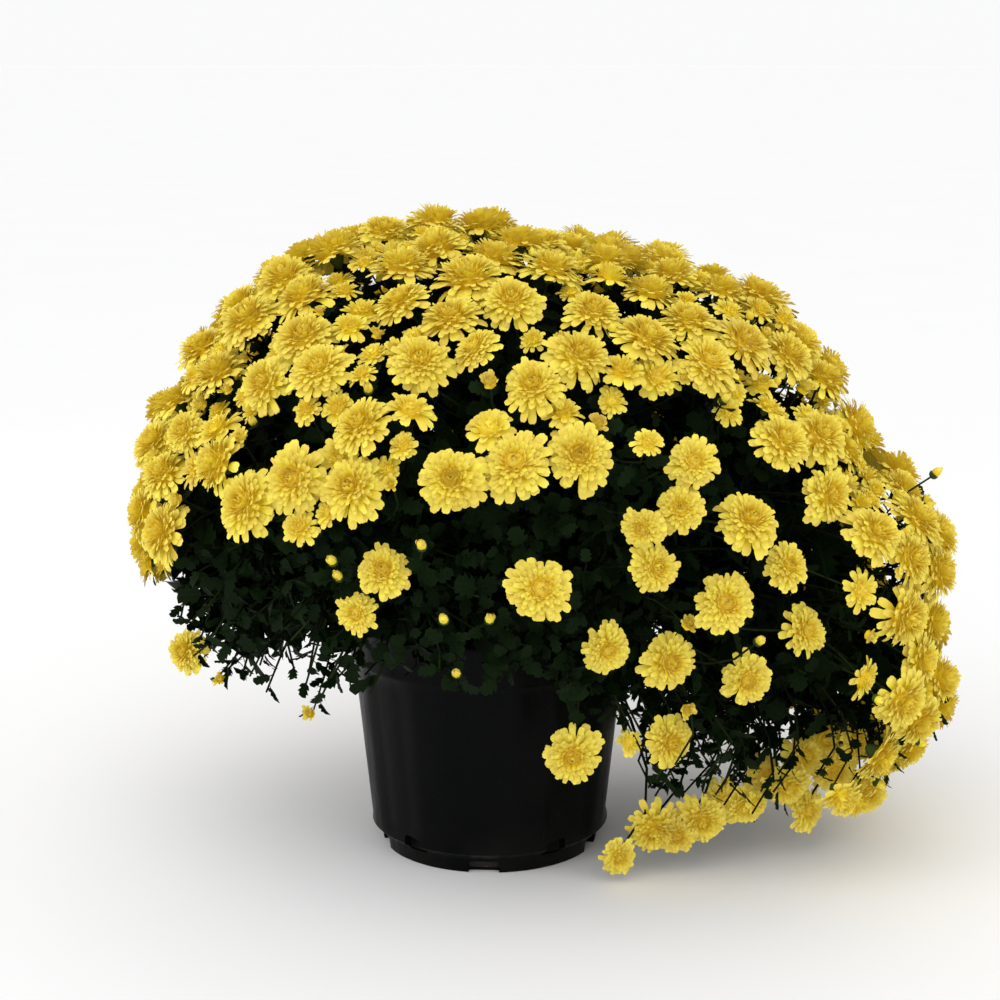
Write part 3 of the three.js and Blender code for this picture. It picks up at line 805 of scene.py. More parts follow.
@dataclass(frozen=True)
class PotPlastic:
    """Satin black moulded plastic with soil dust low down and fine scuffs."""

    name: str
    colour: Colour
    dust: Colour
    roughness: float = 0.30
    specular: float = 0.05
    dust_top: float = 0.05
    dust_shares: tuple[float, float] = (0.2, 0.02)
    speck_share: float = 0.08
    streak_stretch: float = 0.12
    dust_roughness: float = 0.5
    streak_height: float = 0.6

    def make(self, effects: Effects) -> Material:
        """Builds the material.

        Args:
            effects: The shared groups.

        Returns:
            The material.
        """
        material, shades, surface = new_material(self.name)
        place = shades.place()
        parts = shades.node("ShaderNodeSeparateXYZ")
        shades.feed(parts.inputs[0], place)
        mottle = shades.group(effects.mottle, Scale=26.0, Low=0.38, High=0.7)
        grit = shades.group(effects.grit, Scale=900.0, Amount=0.12)
        low = shades.span(parts.outputs["Z"], 0.0, self.dust_top, self.dust_shares)
        dusty = shades.math("MULTIPLY", low, mottle["Mask"])
        specks = shades.math("MULTIPLY", grit["Specks"], self.speck_share)
        dusty = shades.math("MAXIMUM", dusty, specks)
        shades.feed(surface.inputs["Base Color"], shades.mix(dusty, self.colour, self.dust))
        stretch = shades.node("ShaderNodeMapping")
        shades.feed(stretch.inputs["Vector"], place)
        stretch.inputs["Scale"].default_value = (1.0, 1.0, self.streak_stretch)
        streaks = shades.noise(160.0, 4.0, stretch.outputs["Vector"])
        rough = shades.span(streaks, 0.3, 0.75, (self.roughness - 0.05, self.roughness + 0.14))
        worn = shades.math("ADD", rough, shades.math("MULTIPLY", dusty, self.dust_roughness))
        shades.feed(surface.inputs["Roughness"], worn)
        raised = shades.math("MULTIPLY", streaks, self.streak_height)
        height = shades.math("ADD", grit["Height"], raised)
        shades.feed(surface.inputs["Normal"], shades.bump(height, 0.18, 0.0004))
        surface.inputs["Specular IOR Level"].default_value = self.specular
        return material


@dataclass(frozen=True)
class SoilFinish:
    """Dark peat with bark and pale flecks."""

    name: str
    dark: Colour
    brown: Colour
    fleck: Colour

    def make(self, effects: Effects) -> Material:
        """Builds the material."""
        material, shades, surface = new_material(self.name)
        mottle = shades.group(effects.mottle, Scale=300.0, Low=0.35, High=0.65)
        colour = shades.mix(mottle["Mask"], self.dark, self.brown)
        grit = shades.group(effects.grit, Scale=420.0, Amount=0.1)
        shades.feed(surface.inputs["Base Color"], shades.mix(grit["Specks"], colour, self.fleck))
        shades.feed(surface.inputs["Roughness"], shades.span(mottle["Mask"], 0.0, 1.0, (0.85, 1.0)))
        shades.feed(surface.inputs["Normal"], shades.bump(grit["Height"], 0.8, 0.002))
        return material


@dataclass(frozen=True)
class FloorFinish:
    """Pale matt studio floor."""

    name: str
    colour: Colour
    shade: Colour

    def make(self, effects: Effects) -> Material:
        """Builds the material."""
        material, shades, surface = new_material(self.name)
        mottle = shades.group(effects.mottle, Scale=3.0, Low=0.3, High=0.7)
        shades.feed(surface.inputs["Base Color"], shades.mix(mottle["Mask"], self.colour, self.shade))
        surface.inputs["Roughness"].default_value = 0.8
        surface.inputs["Specular IOR Level"].default_value = 0.2
        return material


@dataclass
class Palette:
    """Every material of the plant, made once."""

    effects: Effects = field(default_factory=Effects)
    petal: Material = field(init=False)
    leaf: Material = field(init=False)
    stem: Material = field(init=False)
    sepal: Material = field(init=False)
    pot: Material = field(init=False)
    soil: Material = field(init=False)
    floor: Material = field(init=False)

    def __post_init__(self) -> None:
        """Makes the materials."""
        petal = PetalFinish(
            name="yellow_petals",
            tip=(0.84, 0.715, 0.115),
            body=(0.84, 0.725, 0.052),
            # Golden heart colour, also used for the painted shade at the petals' feet and in their darker
            # lines.
            base=(0.79, 0.54, 0.010),
            faded=(0.50, 0.27, 0.10),
        )
        leaf = LeafFinish(
            name="dark_leaves",
            face=(0.0022, 0.0065, 0.0018),
            young=(0.009, 0.026, 0.005),
            vein=(0.012, 0.026, 0.006),
            under=(0.006, 0.013, 0.004),
        )
        self.petal = petal.make(self.effects)
        self.leaf = leaf.make(self.effects)
        stem = StemFinish("green_stems", (0.016, 0.034, 0.008), (0.014, 0.011, 0.007), (0.25, 1.2))
        self.stem = stem.make(self.effects)
        sepal = StemFinish("green_sepals", (0.040, 0.080, 0.018), (0.070, 0.080, 0.022), (0.75, 1.15))
        self.sepal = sepal.make(self.effects)
        pot = PotPlastic("black_plastic", (0.0010, 0.0014, 0.0013), (0.030, 0.026, 0.022))
        self.pot = pot.make(self.effects)
        soil = SoilFinish("potting_soil", (0.006, 0.004, 0.003), (0.026, 0.016, 0.010), (0.28, 0.26, 0.22))
        self.soil = soil.make(self.effects)
        floor = FloorFinish("pale_floor", (0.93, 0.93, 0.93), (0.92, 0.92, 0.925))
        self.floor = floor.make(self.effects)


# ---- layout of the crown


class BloomStage(Enum):
    """How far a bloom has opened."""

    OPEN = "open"
    YOUNG = "newly open"
    HALF_OPEN = "half open"
    BUD = "bud"


@dataclass
class Bloom:
    """One bloom: where it sits, the way it faces and how far it has opened."""

    centre: Array
    axis: Array
    radius: float
    cluster: int
    stage: BloomStage = BloomStage.OPEN
    turn: float = 0.0
    age: float = 0.0
    dome: float = 1.0


@dataclass
class Crown:
    """The lopsided ball of blooms and foliage over the pot."""

    elevations: Sequence[float] = (-50, -32, -15, 0, 10, 20, 30, 45, 60, 75, 90)
    reach_right: Sequence[float] = (235, 340, 368, 352, 354, 318, 314, 315, 294, 272, 278)
    reach_left: Sequence[float] = (200, 240, 266, 272, 278, 286, 289, 297, 298, 290, 281)
    reach_depth: Sequence[float] = (200, 205, 225, 250, 264, 274, 282, 286, 288, 284, 280)
    azimuths: Sequence[float] = (
        -180, -160, -150, -142, -132, -120, -105, -90, -72, -64, -56, -50, -46, -34, -27,
        0, 25, 50, 90, 135, 180,
    )
    lowest: Sequence[float] = (
        2, 7, 15, 25, 20, 20, 26, 28, 29, 38, 43, 38, 30, 26, -26,
        -31, -26, -14, -6, -4, 2,
    )
    foliage_azimuths: Sequence[float] = (-180, -150, -120, -90, -60, -40, -20, 0, 25, 50, 90, 135, 180)
    foliage_lowest: Sequence[float] = (-12, -12, -12, -12, -28, -46, -46, -44, -36, -26, -20, -16, -12)
    hollow_azimuths: tuple[float, float] = (-72, -30)
    hollow_elevations: tuple[float, float] = (-24, 24)
    hollow_distance: float = 180
    usual_radius: float = 24
    most_radius: float = 27.5
    least_radius: float = 18
    gap: float = 1.2
    closest: float = 0.85
    loosest: float = 0.91
    seed: int = 11
    middle_darts: int = 3000
    darts: int = 14000
    spacing: float = 134
    hanging_space: float = 60
    light: tuple[float, float, float] = (0.0, -0.8, 0.45)
    lift: float = 0.55
    lowest_sine: float = -0.6
    probe: float = 0.1
    gathered: float = 0.05
    hanging: Sequence[Sequence[tuple[float, float, float, float]]] = (
        ((36, -238, 267, 48),),
        ((-72, -228, 277, 42),),
        ((-92, -215, 243, 36),),
        ((85, -192, 210, 42),),
        ((130, -182, 198, 44),),
        ((62, -152, 119, 50),),
        ((132, -142, 126, 42),),
        ((167, -200, 247, 46),),
        ((181, -200, 304, 48),),
        ((212, -178, 268, 38),),
        ((232, -146, 212, 42),),
        ((187, -165, 180, 40),),
        ((142, -212, 351, 38), (132, -218, 318, 38), (106, -228, 307, 34), (114, -224, 278, 38)),
        ((-237, -44, 167, 38),),
        (
            (100, -112, 22, 34), (126, -98, 42, 48), (163, -92, 47, 42), (198, -84, 52, 42),
            (232, -78, 66, 42),
        ),
        ((250, -66, 44, 36), (270, -60, 74, 44), (298, -46, 50, 42)),
    )
    buds: Sequence[tuple[float, float, float]] = (
        (-45, -241, 298),
        (-108, -215, 281),
        (-104, -215, 270),
        (-31, -215, 239),
        (1, -210, 238),
        (-23, -188, 192),
        (192, -192, 217),
        (340, -52, 310),
    )
    blooms: list[Bloom] = field(init=False)
    clusters: int = field(init=False)

    def __post_init__(self) -> None:
        """Lays out the blooms."""
        self.blooms = self._lay_out()
        for bloom in self.blooms:
            bloom.axis = self.lifted(bloom.axis, bloom.centre)
        self.clusters = 1 + max(bloom.cluster for bloom in self.blooms)
        LOG.info("%d blooms in %d clusters", len(self.blooms), self.clusters)

    def reach(self, toward: Array) -> float:
        """Distance from the heart to the bloom centres in a direction."""
        elevation = math.degrees(math.asin(max(-1.0, min(1.0, toward[2]))))
        side = toward[0] / max(math.hypot(toward[0], toward[1]), 1e-9)
        wide = between(self.elevations, self.reach_right if side > 0 else self.reach_left, elevation)
        return lerp(between(self.elevations, self.reach_depth, elevation), wide, side * side)

    def point(self, toward: Array) -> Array:
        """Where the canopy lies in a direction from the heart."""
        return HEART + toward * self.reach(toward)

    def normal(self, toward: Array) -> Array:
        """The way that the canopy faces.

        Args:
            toward: Unit vector from the heart.

        Returns:
            Unit vector square to the canopy there.
        """
        east = unit(np.array([-toward[1], toward[0] + 1e-9, 0.0]))
        north = np.cross(toward, east)
        slopes = []
        for way in (self.probe * east, self.probe * north):
            slopes.append(self.point(unit(toward + way)) - self.point(unit(toward - way)))
        return unit(np.cross(*slopes))

    def lifted(self, axis: Array, centre: Array) -> Array:
        """An axis turned up to the light, the more so the higher its bloom stands."""
        return unit(axis + UP * self.lift * max(0.0, float(unit(centre - HEART)[2])))

    def gather(self) -> None:
        """Draws the canopy's blooms together in their clusters, so that dark gaps open."""
        for cluster in range(len(self.hanging), self.clusters):
            own = [bloom for bloom in self.blooms if bloom.cluster == cluster]
            middle = np.mean([bloom.centre for bloom in own], axis=0)
            for bloom in own:
                bloom.centre = bloom.centre + self.gathered * (middle - bloom.centre)

    def is_under(self, toward: Array) -> bool:
        """Whether a direction lies below the lowest blooms of the close canopy."""
        azimuth, elevation = angles_of(toward)
        return elevation < between(self.azimuths, self.lowest, azimuth)

    def is_hollow(self, toward: Array) -> bool:
        """Whether a direction lies in the open hollow at the front right."""
        azimuth, elevation = angles_of(toward)
        (west, east), (low, high) = self.hollow_azimuths, self.hollow_elevations
        return west < azimuth < east and low < elevation < high

    def _draw_direction(self, draw: SeededDraw) -> Array | None:
        """Draws a direction evenly over the canopy.

        Args:
            draw: Source of the random numbers.

        Returns:
            Unit vector from the heart, or None below the canopy's edge.
        """
        azimuth = lerp(-180, 180, draw())
        elevation = math.degrees(math.asin(lerp(self.lowest_sine, 1, draw())))
        if elevation < between(self.azimuths, self.lowest, azimuth):
            return None
        return direction(azimuth, elevation)

    def _hanging_blooms(self) -> list[Bloom]:
        """The blooms that hang below the canopy and face away from the heart."""
        blooms = []
        for cluster, run in enumerate(self.hanging):
            places = np.array(run, dtype=float)[:, :3]
            way = unit(places[-1] - places[0])
            for centre, (_, _, _, diameter) in zip(places, run):
                axis = unit(centre - HEART) + np.array(self.light)
                if len(run) > 1:
                    axis[2] = max(axis[2], 0.0)
                    axis -= way * float(axis @ way)
                blooms.append(Bloom(centre, unit(axis), diameter / 2, cluster))
        return blooms

    def _lay_out(self) -> list[Bloom]:
        """Every bloom: those that hang, then clusters that grow until they meet."""
        draw = SeededDraw(self.seed)
        hanging = self._hanging_blooms()
        hung = np.array([bloom.centre for bloom in hanging])
        canopy: list[Bloom] = []
        for _ in range(self.middle_darts):
            toward = self._draw_direction(draw)
            if toward is None:
                continue
            centre = self.point(toward)
            if np.linalg.norm(hung - centre, axis=1).min() <= self.hanging_space:
                continue
            if any(np.linalg.norm(b.centre - centre) <= self.spacing for b in canopy):
                continue
            cluster = len(self.hanging) + len(canopy)
            canopy.append(Bloom(centre, self.normal(toward), self.most_radius, cluster))
        for _ in range(self.darts):
            toward = self._draw_direction(draw)
            wanted = lerp(self.usual_radius, self.most_radius, draw())
            if toward is not None:
                self._try_bloom(toward, wanted, hanging, canopy)
        return [*hanging, *canopy]

    def _try_bloom(
        self, toward: Array, wanted: float, hanging: list[Bloom], canopy: list[Bloom],
    ) -> None:
        """Adds a bloom to the nearest cluster if there is room for it.

        Args:
            toward: Direction of the bloom from the heart.
            wanted: Radius that it has where nothing is in its way.
            hanging: The blooms that hang below the canopy.
            canopy: The canopy's blooms so far, which the new one joins.
        """
        centre = self.point(toward)
        every = [*hanging, *canopy]
        spans = np.linalg.norm(np.array([b.centre for b in every]) - centre, axis=1)
        radii = np.array([b.radius for b in every])
        crowding = spans[len(hanging):] / (wanted + radii[len(hanging):])
        nearest = canopy[int(np.argmin(crowding))]
        strange = np.array([b.cluster != nearest.cluster for b in every])
        radius = min(wanted, float((spans - radii - self.gap)[strange].min()))
        if radius < self.least_radius:
            return
        overlap = float(np.linalg.norm(nearest.centre - centre)) / (radius + nearest.radius)
        if self.closest <= overlap <= self.loosest:
            canopy.append(Bloom(centre, self.normal(toward), radius, nearest.cluster))


@dataclass
class Undergrowth:
    """The smaller and later blooms: some hang singly, the rest fill gaps of the canopy."""

    crown: Crown
    seed: int = 23
    darts: int = 12000
    radii: tuple[float, float] = (11.0, 22.0)
    depths: tuple[float, float] = (1.0, 13.0)
    spacing: float = 0.65
    half_open: float = 0.14
    bud: float = 0.03
    single: Sequence[tuple[float, float, float, float, int]] = (
        (104, -150, 128, 22, 6),
        (146, -150, 152, 17, 6),
        (143, -190, 230, 18, 4),
        (108, -240, 370, 23, 12),
        (-226, -40, 156, 18, 13),
        (-207, -60, 149, 15, 13),
        (-138, -90, 131, 17, 13),
        (144, -104, 36, 36, 14),
        (180, -80, 58, 36, 14),
        (205, -84, 57, 22, 14),
        (216, -72, 74, 38, 14),
        (244, -64, 88, 38, 15),
        (258, -52, 96, 34, 15),
        (284, -58, 98, 36, 15),
        (310, -56, 112, 34, 15),
        (322, -50, 92, 22, 15),
        (338, -44, 124, 34, 15),
    )
    young_diameter: float = 30.0
    half_open_diameter: float = 20.0
    patch: float = 24.0
    patch_edge: float = 0.3
    rear: float = 60.0
    rear_share: float = 0.5
    bud_radius: float = 4.4
    bud_depth: float = 0.3
    half_open_size: float = 0.62
    patch_waves: tuple[float, float] = (1.7, 1.3)
    hanging_lift: float = 0.25
    blooms: list[Bloom] = field(init=False)

    def __post_init__(self) -> None:
        """Lays out the blooms."""
        rng = np.random.default_rng(self.seed)
        centres = [bloom.centre for bloom in self.crown.blooms]
        radii = [bloom.radius for bloom in self.crown.blooms]
        clusters = [bloom.cluster for bloom in self.crown.blooms]
        self.blooms = self._hang()
        for _ in range(self.darts):
            azimuth, sine = rng.uniform(-180, 180), rng.uniform(self.crown.lowest_sine, 1)
            size, depth, chance = rng.uniform(*self.radii), rng.uniform(*self.depths), rng.random()
            toward = direction(azimuth, math.degrees(math.asin(sine)))
            if self.crown.is_under(toward):
                continue
            stage, radius = BloomStage.YOUNG, size
            if chance < self.bud:
                stage, radius, depth = BloomStage.BUD, self.bud_radius, self.bud_depth * depth
            elif chance < self.bud + self.half_open:
                stage, radius = BloomStage.HALF_OPEN, self.half_open_size * size
            centre = HEART + toward * (self.crown.reach(toward) - depth)
            if centre[1] > self.rear and rng.random() > self.rear_share * abs(sine):
                continue
            spans = np.linalg.norm(np.array(centres) - centre, axis=1)
            if (spans < self.spacing * (np.array(radii) + radius)).any() or self._is_gap(centre):
                continue
            cluster = clusters[int(np.argmin(spans))]
            axis = self.crown.lifted(self.crown.normal(toward), centre)
            self.blooms.append(Bloom(centre, axis, radius, cluster, stage))
            centres.append(centre)
            radii.append(radius)
            clusters.append(cluster)
        LOG.info("%d smaller blooms", len(self.blooms))

    def _is_gap(self, place: Array) -> bool:
        """Whether a place lies in one of the patches where the gaps stay dark.

        Args:
            place: Place in millimetres.

        Returns:
            True inside a patch.
        """
        x, y, z = place / self.patch
        across, up = self.patch_waves
        wave = math.sin(x + across * math.sin(z)) * math.sin(z + up * math.sin(x + y))
        return wave > self.patch_edge

    def _hang(self) -> list[Bloom]:
        """The single ones that hang below the canopy."""
        blooms = []
        for x, y, z, diameter, cluster in self.single:
            centre = np.array([x, y, z], dtype=float)
            axis = unit(unit(centre - HEART) + np.array(self.crown.light) + self.hanging_lift * UP)
            stage = BloomStage.YOUNG if diameter < self.young_diameter else BloomStage.OPEN
            if diameter < self.half_open_diameter:
                stage = BloomStage.HALF_OPEN
            blooms.append(Bloom(centre, axis, diameter / 2, cluster, stage))
        return blooms


# ---- blooms


@dataclass(frozen=True)
class PetalForm:
    """Outline of a petal: places along it and its width at each, its tip, and places across."""

    rows: Sequence[float]
    widths: Sequence[float]
    tip_round: float
    columns: int = 3


RAY = PetalForm((0.0, 0.42, 0.74, 0.92, 1.0), (0.42, 0.80, 1.0, 0.86, 0.44), -0.02)
SMALL_RAY = PetalForm((0.0, 0.5, 0.86, 1.0), (0.45, 0.90, 0.98, 0.46), -0.02)
NARROW = PetalForm((0.0, 0.6, 1.0), (0.6, 1.0, 0.58), 0.03)
FLORET = PetalForm((0.0, 0.55, 1.0), (0.6, 1.0, 0.6), 0.0, 2)


@dataclass(frozen=True)
class Whorl:
    """One round of petals by where its tips lie.

    Lengths are shares of the bloom's radius, angles are in degrees.
    """

    count: int
    reach: float
    height: float
    length: float
    lift: float
    curl: float
    width: float
    cup: float
    form: PetalForm = NARROW


WHORLS = {
    BloomStage.OPEN: (
        Whorl(18, 1.00, -0.20, 0.66, 14, -52, 0.27, -0.06, RAY),
        Whorl(20, 0.93, 0.00, 0.58, 28, -52, 0.23, 0.02, RAY),
        Whorl(24, 0.84, 0.17, 0.50, 44, -60, 0.19, 0.04),
        Whorl(24, 0.73, 0.31, 0.44, 54, -56, 0.17, 0.06),
        Whorl(24, 0.61, 0.42, 0.38, 62, -48, 0.145, 0.12, FLORET),
        Whorl(21, 0.49, 0.49, 0.34, 70, -34, 0.13, 0.14, FLORET),
        Whorl(17, 0.36, 0.53, 0.31, 76, -14, 0.12, 0.18, FLORET),
        Whorl(12, 0.22, 0.55, 0.28, 80, 18, 0.12, 0.20, FLORET),
        Whorl(8, 0.06, 0.55, 0.24, 84, 34, 0.13, 0.22, FLORET),
    ),
    BloomStage.YOUNG: (
        Whorl(13, 1.00, -0.06, 0.76, 14, -42, 0.34, -0.02, SMALL_RAY),
        Whorl(13, 0.82, 0.20, 0.58, 38, -38, 0.27, 0.08, SMALL_RAY),
        Whorl(16, 0.60, 0.38, 0.44, 54, -26, 0.17, 0.14),
        Whorl(13, 0.40, 0.48, 0.38, 66, -14, 0.14, 0.20, FLORET),
        Whorl(9, 0.19, 0.52, 0.34, 78, -4, 0.12, 0.20, FLORET),
    ),
    BloomStage.HALF_OPEN: (
        Whorl(10, 0.82, 0.55, 1.00, 40, -6, 0.42, 0.12, RAY),
        Whorl(9, 0.62, 0.66, 0.86, 54, 6, 0.36, 0.18, RAY),
        Whorl(8, 0.42, 0.68, 0.66, 66, 16, 0.28, 0.22),
        Whorl(6, 0.24, 0.70, 0.52, 76, 20, 0.22, 0.26),
        Whorl(4, 0.10, 0.70, 0.42, 84, 16, 0.20, 0.26),
    ),
    BloomStage.BUD: (
        Whorl(8, 0.30, 1.10, 1.85, 60, 72, 0.78, 0.30, RAY),
        Whorl(6, 0.16, 1.20, 1.50, 72, 42, 0.62, 0.30),
        Whorl(4, 0.05, 1.15, 1.20, 84, 18, 0.50, 0.30),
    ),
}


@dataclass
class PetalSheets:
    """Petals of many blooms, shaped together."""

    jitter: float = 0.1
    lost: float = 0.09
    edge_whorls: int = 2
    lopsided: float = 0.11
    lobed: float = 0.06
    length_limits: tuple[float, float] = (-0.26, 0.11)
    turn_spread: float = 0.07
    lift_spread: float = 7
    curl_spread: float = 8
    width_shares: tuple[float, float] = (0.84, 1.16)
    cup_spread: float = 0.05
    roll_spread: float = 0.14
    least_curl: float = 1e-3

    def lay(self, bloom: Bloom, form: PetalForm, rng: np.random.Generator) -> Array:
        """Petals of one bloom that have a form.

        Args:
            bloom: The bloom.
            form: The form.
            rng: Source of the small differences between petals.

        Returns:
            One row for each petal: azimuth, length, inset, height, lift, curl, width, cup,
            roll, rank and a random share.
        """
        rows = [np.empty((0, 11))]
        whorls = WHORLS[bloom.stage]
        for k, whorl in enumerate(whorls):
            if whorl.form is not form:
                continue
            n = whorl.count
            start, turn = math.radians(whorl.lift), math.radians(whorl.curl)
            inset = whorl.reach - whorl.length / turn * (math.sin(start + turn) - math.sin(start))
            height = whorl.height + whorl.length / turn * (math.cos(start + turn) - math.cos(start))
            azimuth = bloom.turn + TAU * (np.arange(n) + 0.5 * (k % 2)) / n
            azimuth = azimuth + rng.normal(0, self.turn_spread, n)
            uneven = self.lopsided * (np.cos(2 * azimuth + 5 * bloom.turn) - 0.5)
            uneven += self.lobed * (np.cos(3 * azimuth + 9 * bloom.turn) - 0.5)
            uneven = 1 + uneven + rng.normal(0, self.jitter, n).clip(*self.length_limits)
            length = whorl.length * uneven
            lift = start + np.radians(rng.normal(0, self.lift_spread, n))
            curl = turn + np.radians(rng.normal(0, self.curl_spread, n))
            width = whorl.width * rng.uniform(*self.width_shares, n)
            cup = whorl.cup + rng.normal(0, self.cup_spread, n)
            roll = rng.normal(0, self.roll_spread, n)
            rank = k / (len(whorls) - 1)
            parts = [azimuth, length, np.full(n, inset), np.full(n, height), lift, curl]
            parts += [width, cup, roll, np.full(n, rank), rng.random(n)]
            whole = np.stack(parts, axis=-1)
            rows.append(whole[rng.random(n) > self.lost] if k < self.edge_whorls else whole)
        return np.concatenate(rows)

    def add(
        self, batch: MeshBatch, blooms: Sequence[Bloom], rng: np.random.Generator, slot: int,
    ) -> None:
        """Adds every petal of the blooms to a batch, one form after the other.

        Args:
            batch: Where the petals go.
            blooms: The blooms.
            rng: Source of the small differences between petals.
            slot: Material slot of the petals.
        """
        for form in (RAY, SMALL_RAY, NARROW, FLORET):
            if blooms:
                self._add_form(batch, blooms, form, rng, slot)

    def _add_form(
        self, batch: MeshBatch, blooms: Sequence[Bloom], form: PetalForm,
        rng: np.random.Generator, slot: int,
    ) -> None:
        """Adds the petals that have a form to a batch.

        Args:
            batch: Where the petals go.
            blooms: The blooms.
            form: The form.
            rng: Source of the small differences between petals.
            slot: Material slot of the petals.
        """
        tables = [self.lay(bloom, form, rng) for bloom in blooms]
        counts = [len(table) for table in tables]
        table = np.concatenate(tables)
        owner = np.repeat(np.arange(len(blooms)), counts)
        azimuth, length, inset, height, lift, curl, width, cup, roll, rank, chance = table.T
        curl = np.where(np.abs(curl) < self.least_curl, self.least_curl, curl)
        side = np.linspace(-1.0, 1.0, form.columns)
        rows, widths = np.array(form.rows), np.array(form.widths)
        along = rows[:, None] - form.tip_round * (side**2)[None] * (rows[:, None] ** 6)
        bend = lift[:, None, None] + curl[:, None, None] * along[None]
        scale = (length / curl)[:, None, None]
        radial = inset[:, None, None] + scale * (np.sin(bend) - np.sin(lift)[:, None, None])
        rise = height[:, None, None] - scale * (np.cos(bend) - np.cos(lift)[:, None, None])
        half = 0.5 * width[:, None, None] * widths[None, :, None]
        over = half * side[None, None]
        lifted = 2 * half * cup[:, None, None] * (side**2)[None, None]
        spin = roll[:, None, None] * rows[None, :, None]
        across = over * np.cos(spin) - lifted * np.sin(spin)
        raised = over * np.sin(spin) + lifted * np.cos(spin)
        radial = radial - raised * np.sin(bend)
        rise = rise + raised * np.cos(bend)
        cos, sin = np.cos(azimuth)[:, None, None], np.sin(azimuth)[:, None, None]
        local = np.stack([radial * cos - across * sin, radial * sin + across * cos, rise], axis=-1)
        local[..., 2] *= np.array([bloom.dome for bloom in blooms])[owner][:, None, None]
        radii = np.array([bloom.radius for bloom in blooms])[owner]
        frames = frames_along(np.array([bloom.axis for bloom in blooms]))[owner]
        centres = np.array([bloom.centre for bloom in blooms])[owner]
        points = np.einsum("pij,prcj->prci", frames, local * radii[:, None, None, None])
        points += centres[:, None, None]
        tones = np.empty(points.shape[:3] + (4,))
        tones[..., 0] = along[None]
        tones[..., 1] = (side * 0.5 + 0.5)[None, None]
        tones[..., 2] = rank[:, None, None]
        tones[..., 3] = chance[:, None, None]
        batch.add_sheets(points, tones, np.array([bloom.age for bloom in blooms])[owner], slot)


@dataclass(frozen=True)
class TurnedForm:
    """A small round form about a bloom's axis, in shares of the bloom's radius."""

    stations: Sequence[float]
    radii: Sequence[float]
    sides: int
    rank: float

    def add(self, batch: MeshBatch, blooms: Sequence[Bloom], slot: int) -> None:
        """Adds the form to a batch, once for each bloom.

        Args:
            batch: Where it goes.
            blooms: The blooms.
            slot: Material slot of the form.
        """
        if not blooms:
            return
        sizes = np.array([bloom.radius for bloom in blooms])
        axes = np.array([bloom.axis for bloom in blooms])
        centres = np.array([bloom.centre for bloom in blooms])
        heights = np.array(self.stations)[None, :, None] * sizes[:, None, None]
        widths = np.array(self.radii)[None] * sizes[:, None]
        ranks = np.full(len(sizes), self.rank)
        batch.add_tubes(centres[:, None] + axes[:, None] * heights, widths, self.sides, ranks, slot)


BLOOM_CUP = TurnedForm((-0.40, -0.30, -0.12, 0.0), (0.05, 0.16, 0.24, 0.26), 6, 0.2)
BLOOM_HEART = TurnedForm((-0.04, 0.10, 0.28, 0.40), (0.50, 0.42, 0.24, 0.0), 6, 1.0)
BUD_HEART = TurnedForm((-0.7, -0.3, 0.2, 0.7, 1.0, 1.05), (0.4, 0.68, 0.70, 0.56, 0.22, 0.02), 8, 0.5)
BUD_CUP = TurnedForm((-1.15, -1.05, -0.85, -0.6, -0.3, -0.2), (0.15, 0.45, 0.66, 0.78, 0.80, 0.6), 9, 0.1)


@dataclass
class BloomCluster:
    """Blooms that stand together, each on its green cup."""

    number: int
    blooms: list[Bloom]

    def build(self, palette: Palette) -> Object:
        """Makes the cluster's piece."""
        rng = np.random.default_rng(1000 + self.number)
        batch = MeshBatch()
        open_blooms = [bloom for bloom in self.blooms if bloom.stage is not BloomStage.BUD]
        buds = [bloom for bloom in self.blooms if bloom.stage is BloomStage.BUD]
        PetalSheets().add(batch, self.blooms, rng, 0)
        BLOOM_HEART.add(batch, open_blooms, 0)
        BLOOM_CUP.add(batch, open_blooms, 1)
        BUD_HEART.add(batch, buds, 0)
        BUD_CUP.add(batch, buds, 1)
        name = f"blooms_{self.number:02d}"
        piece = batch.make(f"petals_{self.number:02d}", [palette.petal, palette.sepal])
        place_piece(piece, "petals", name)
        return piece


# ---- leafy stems


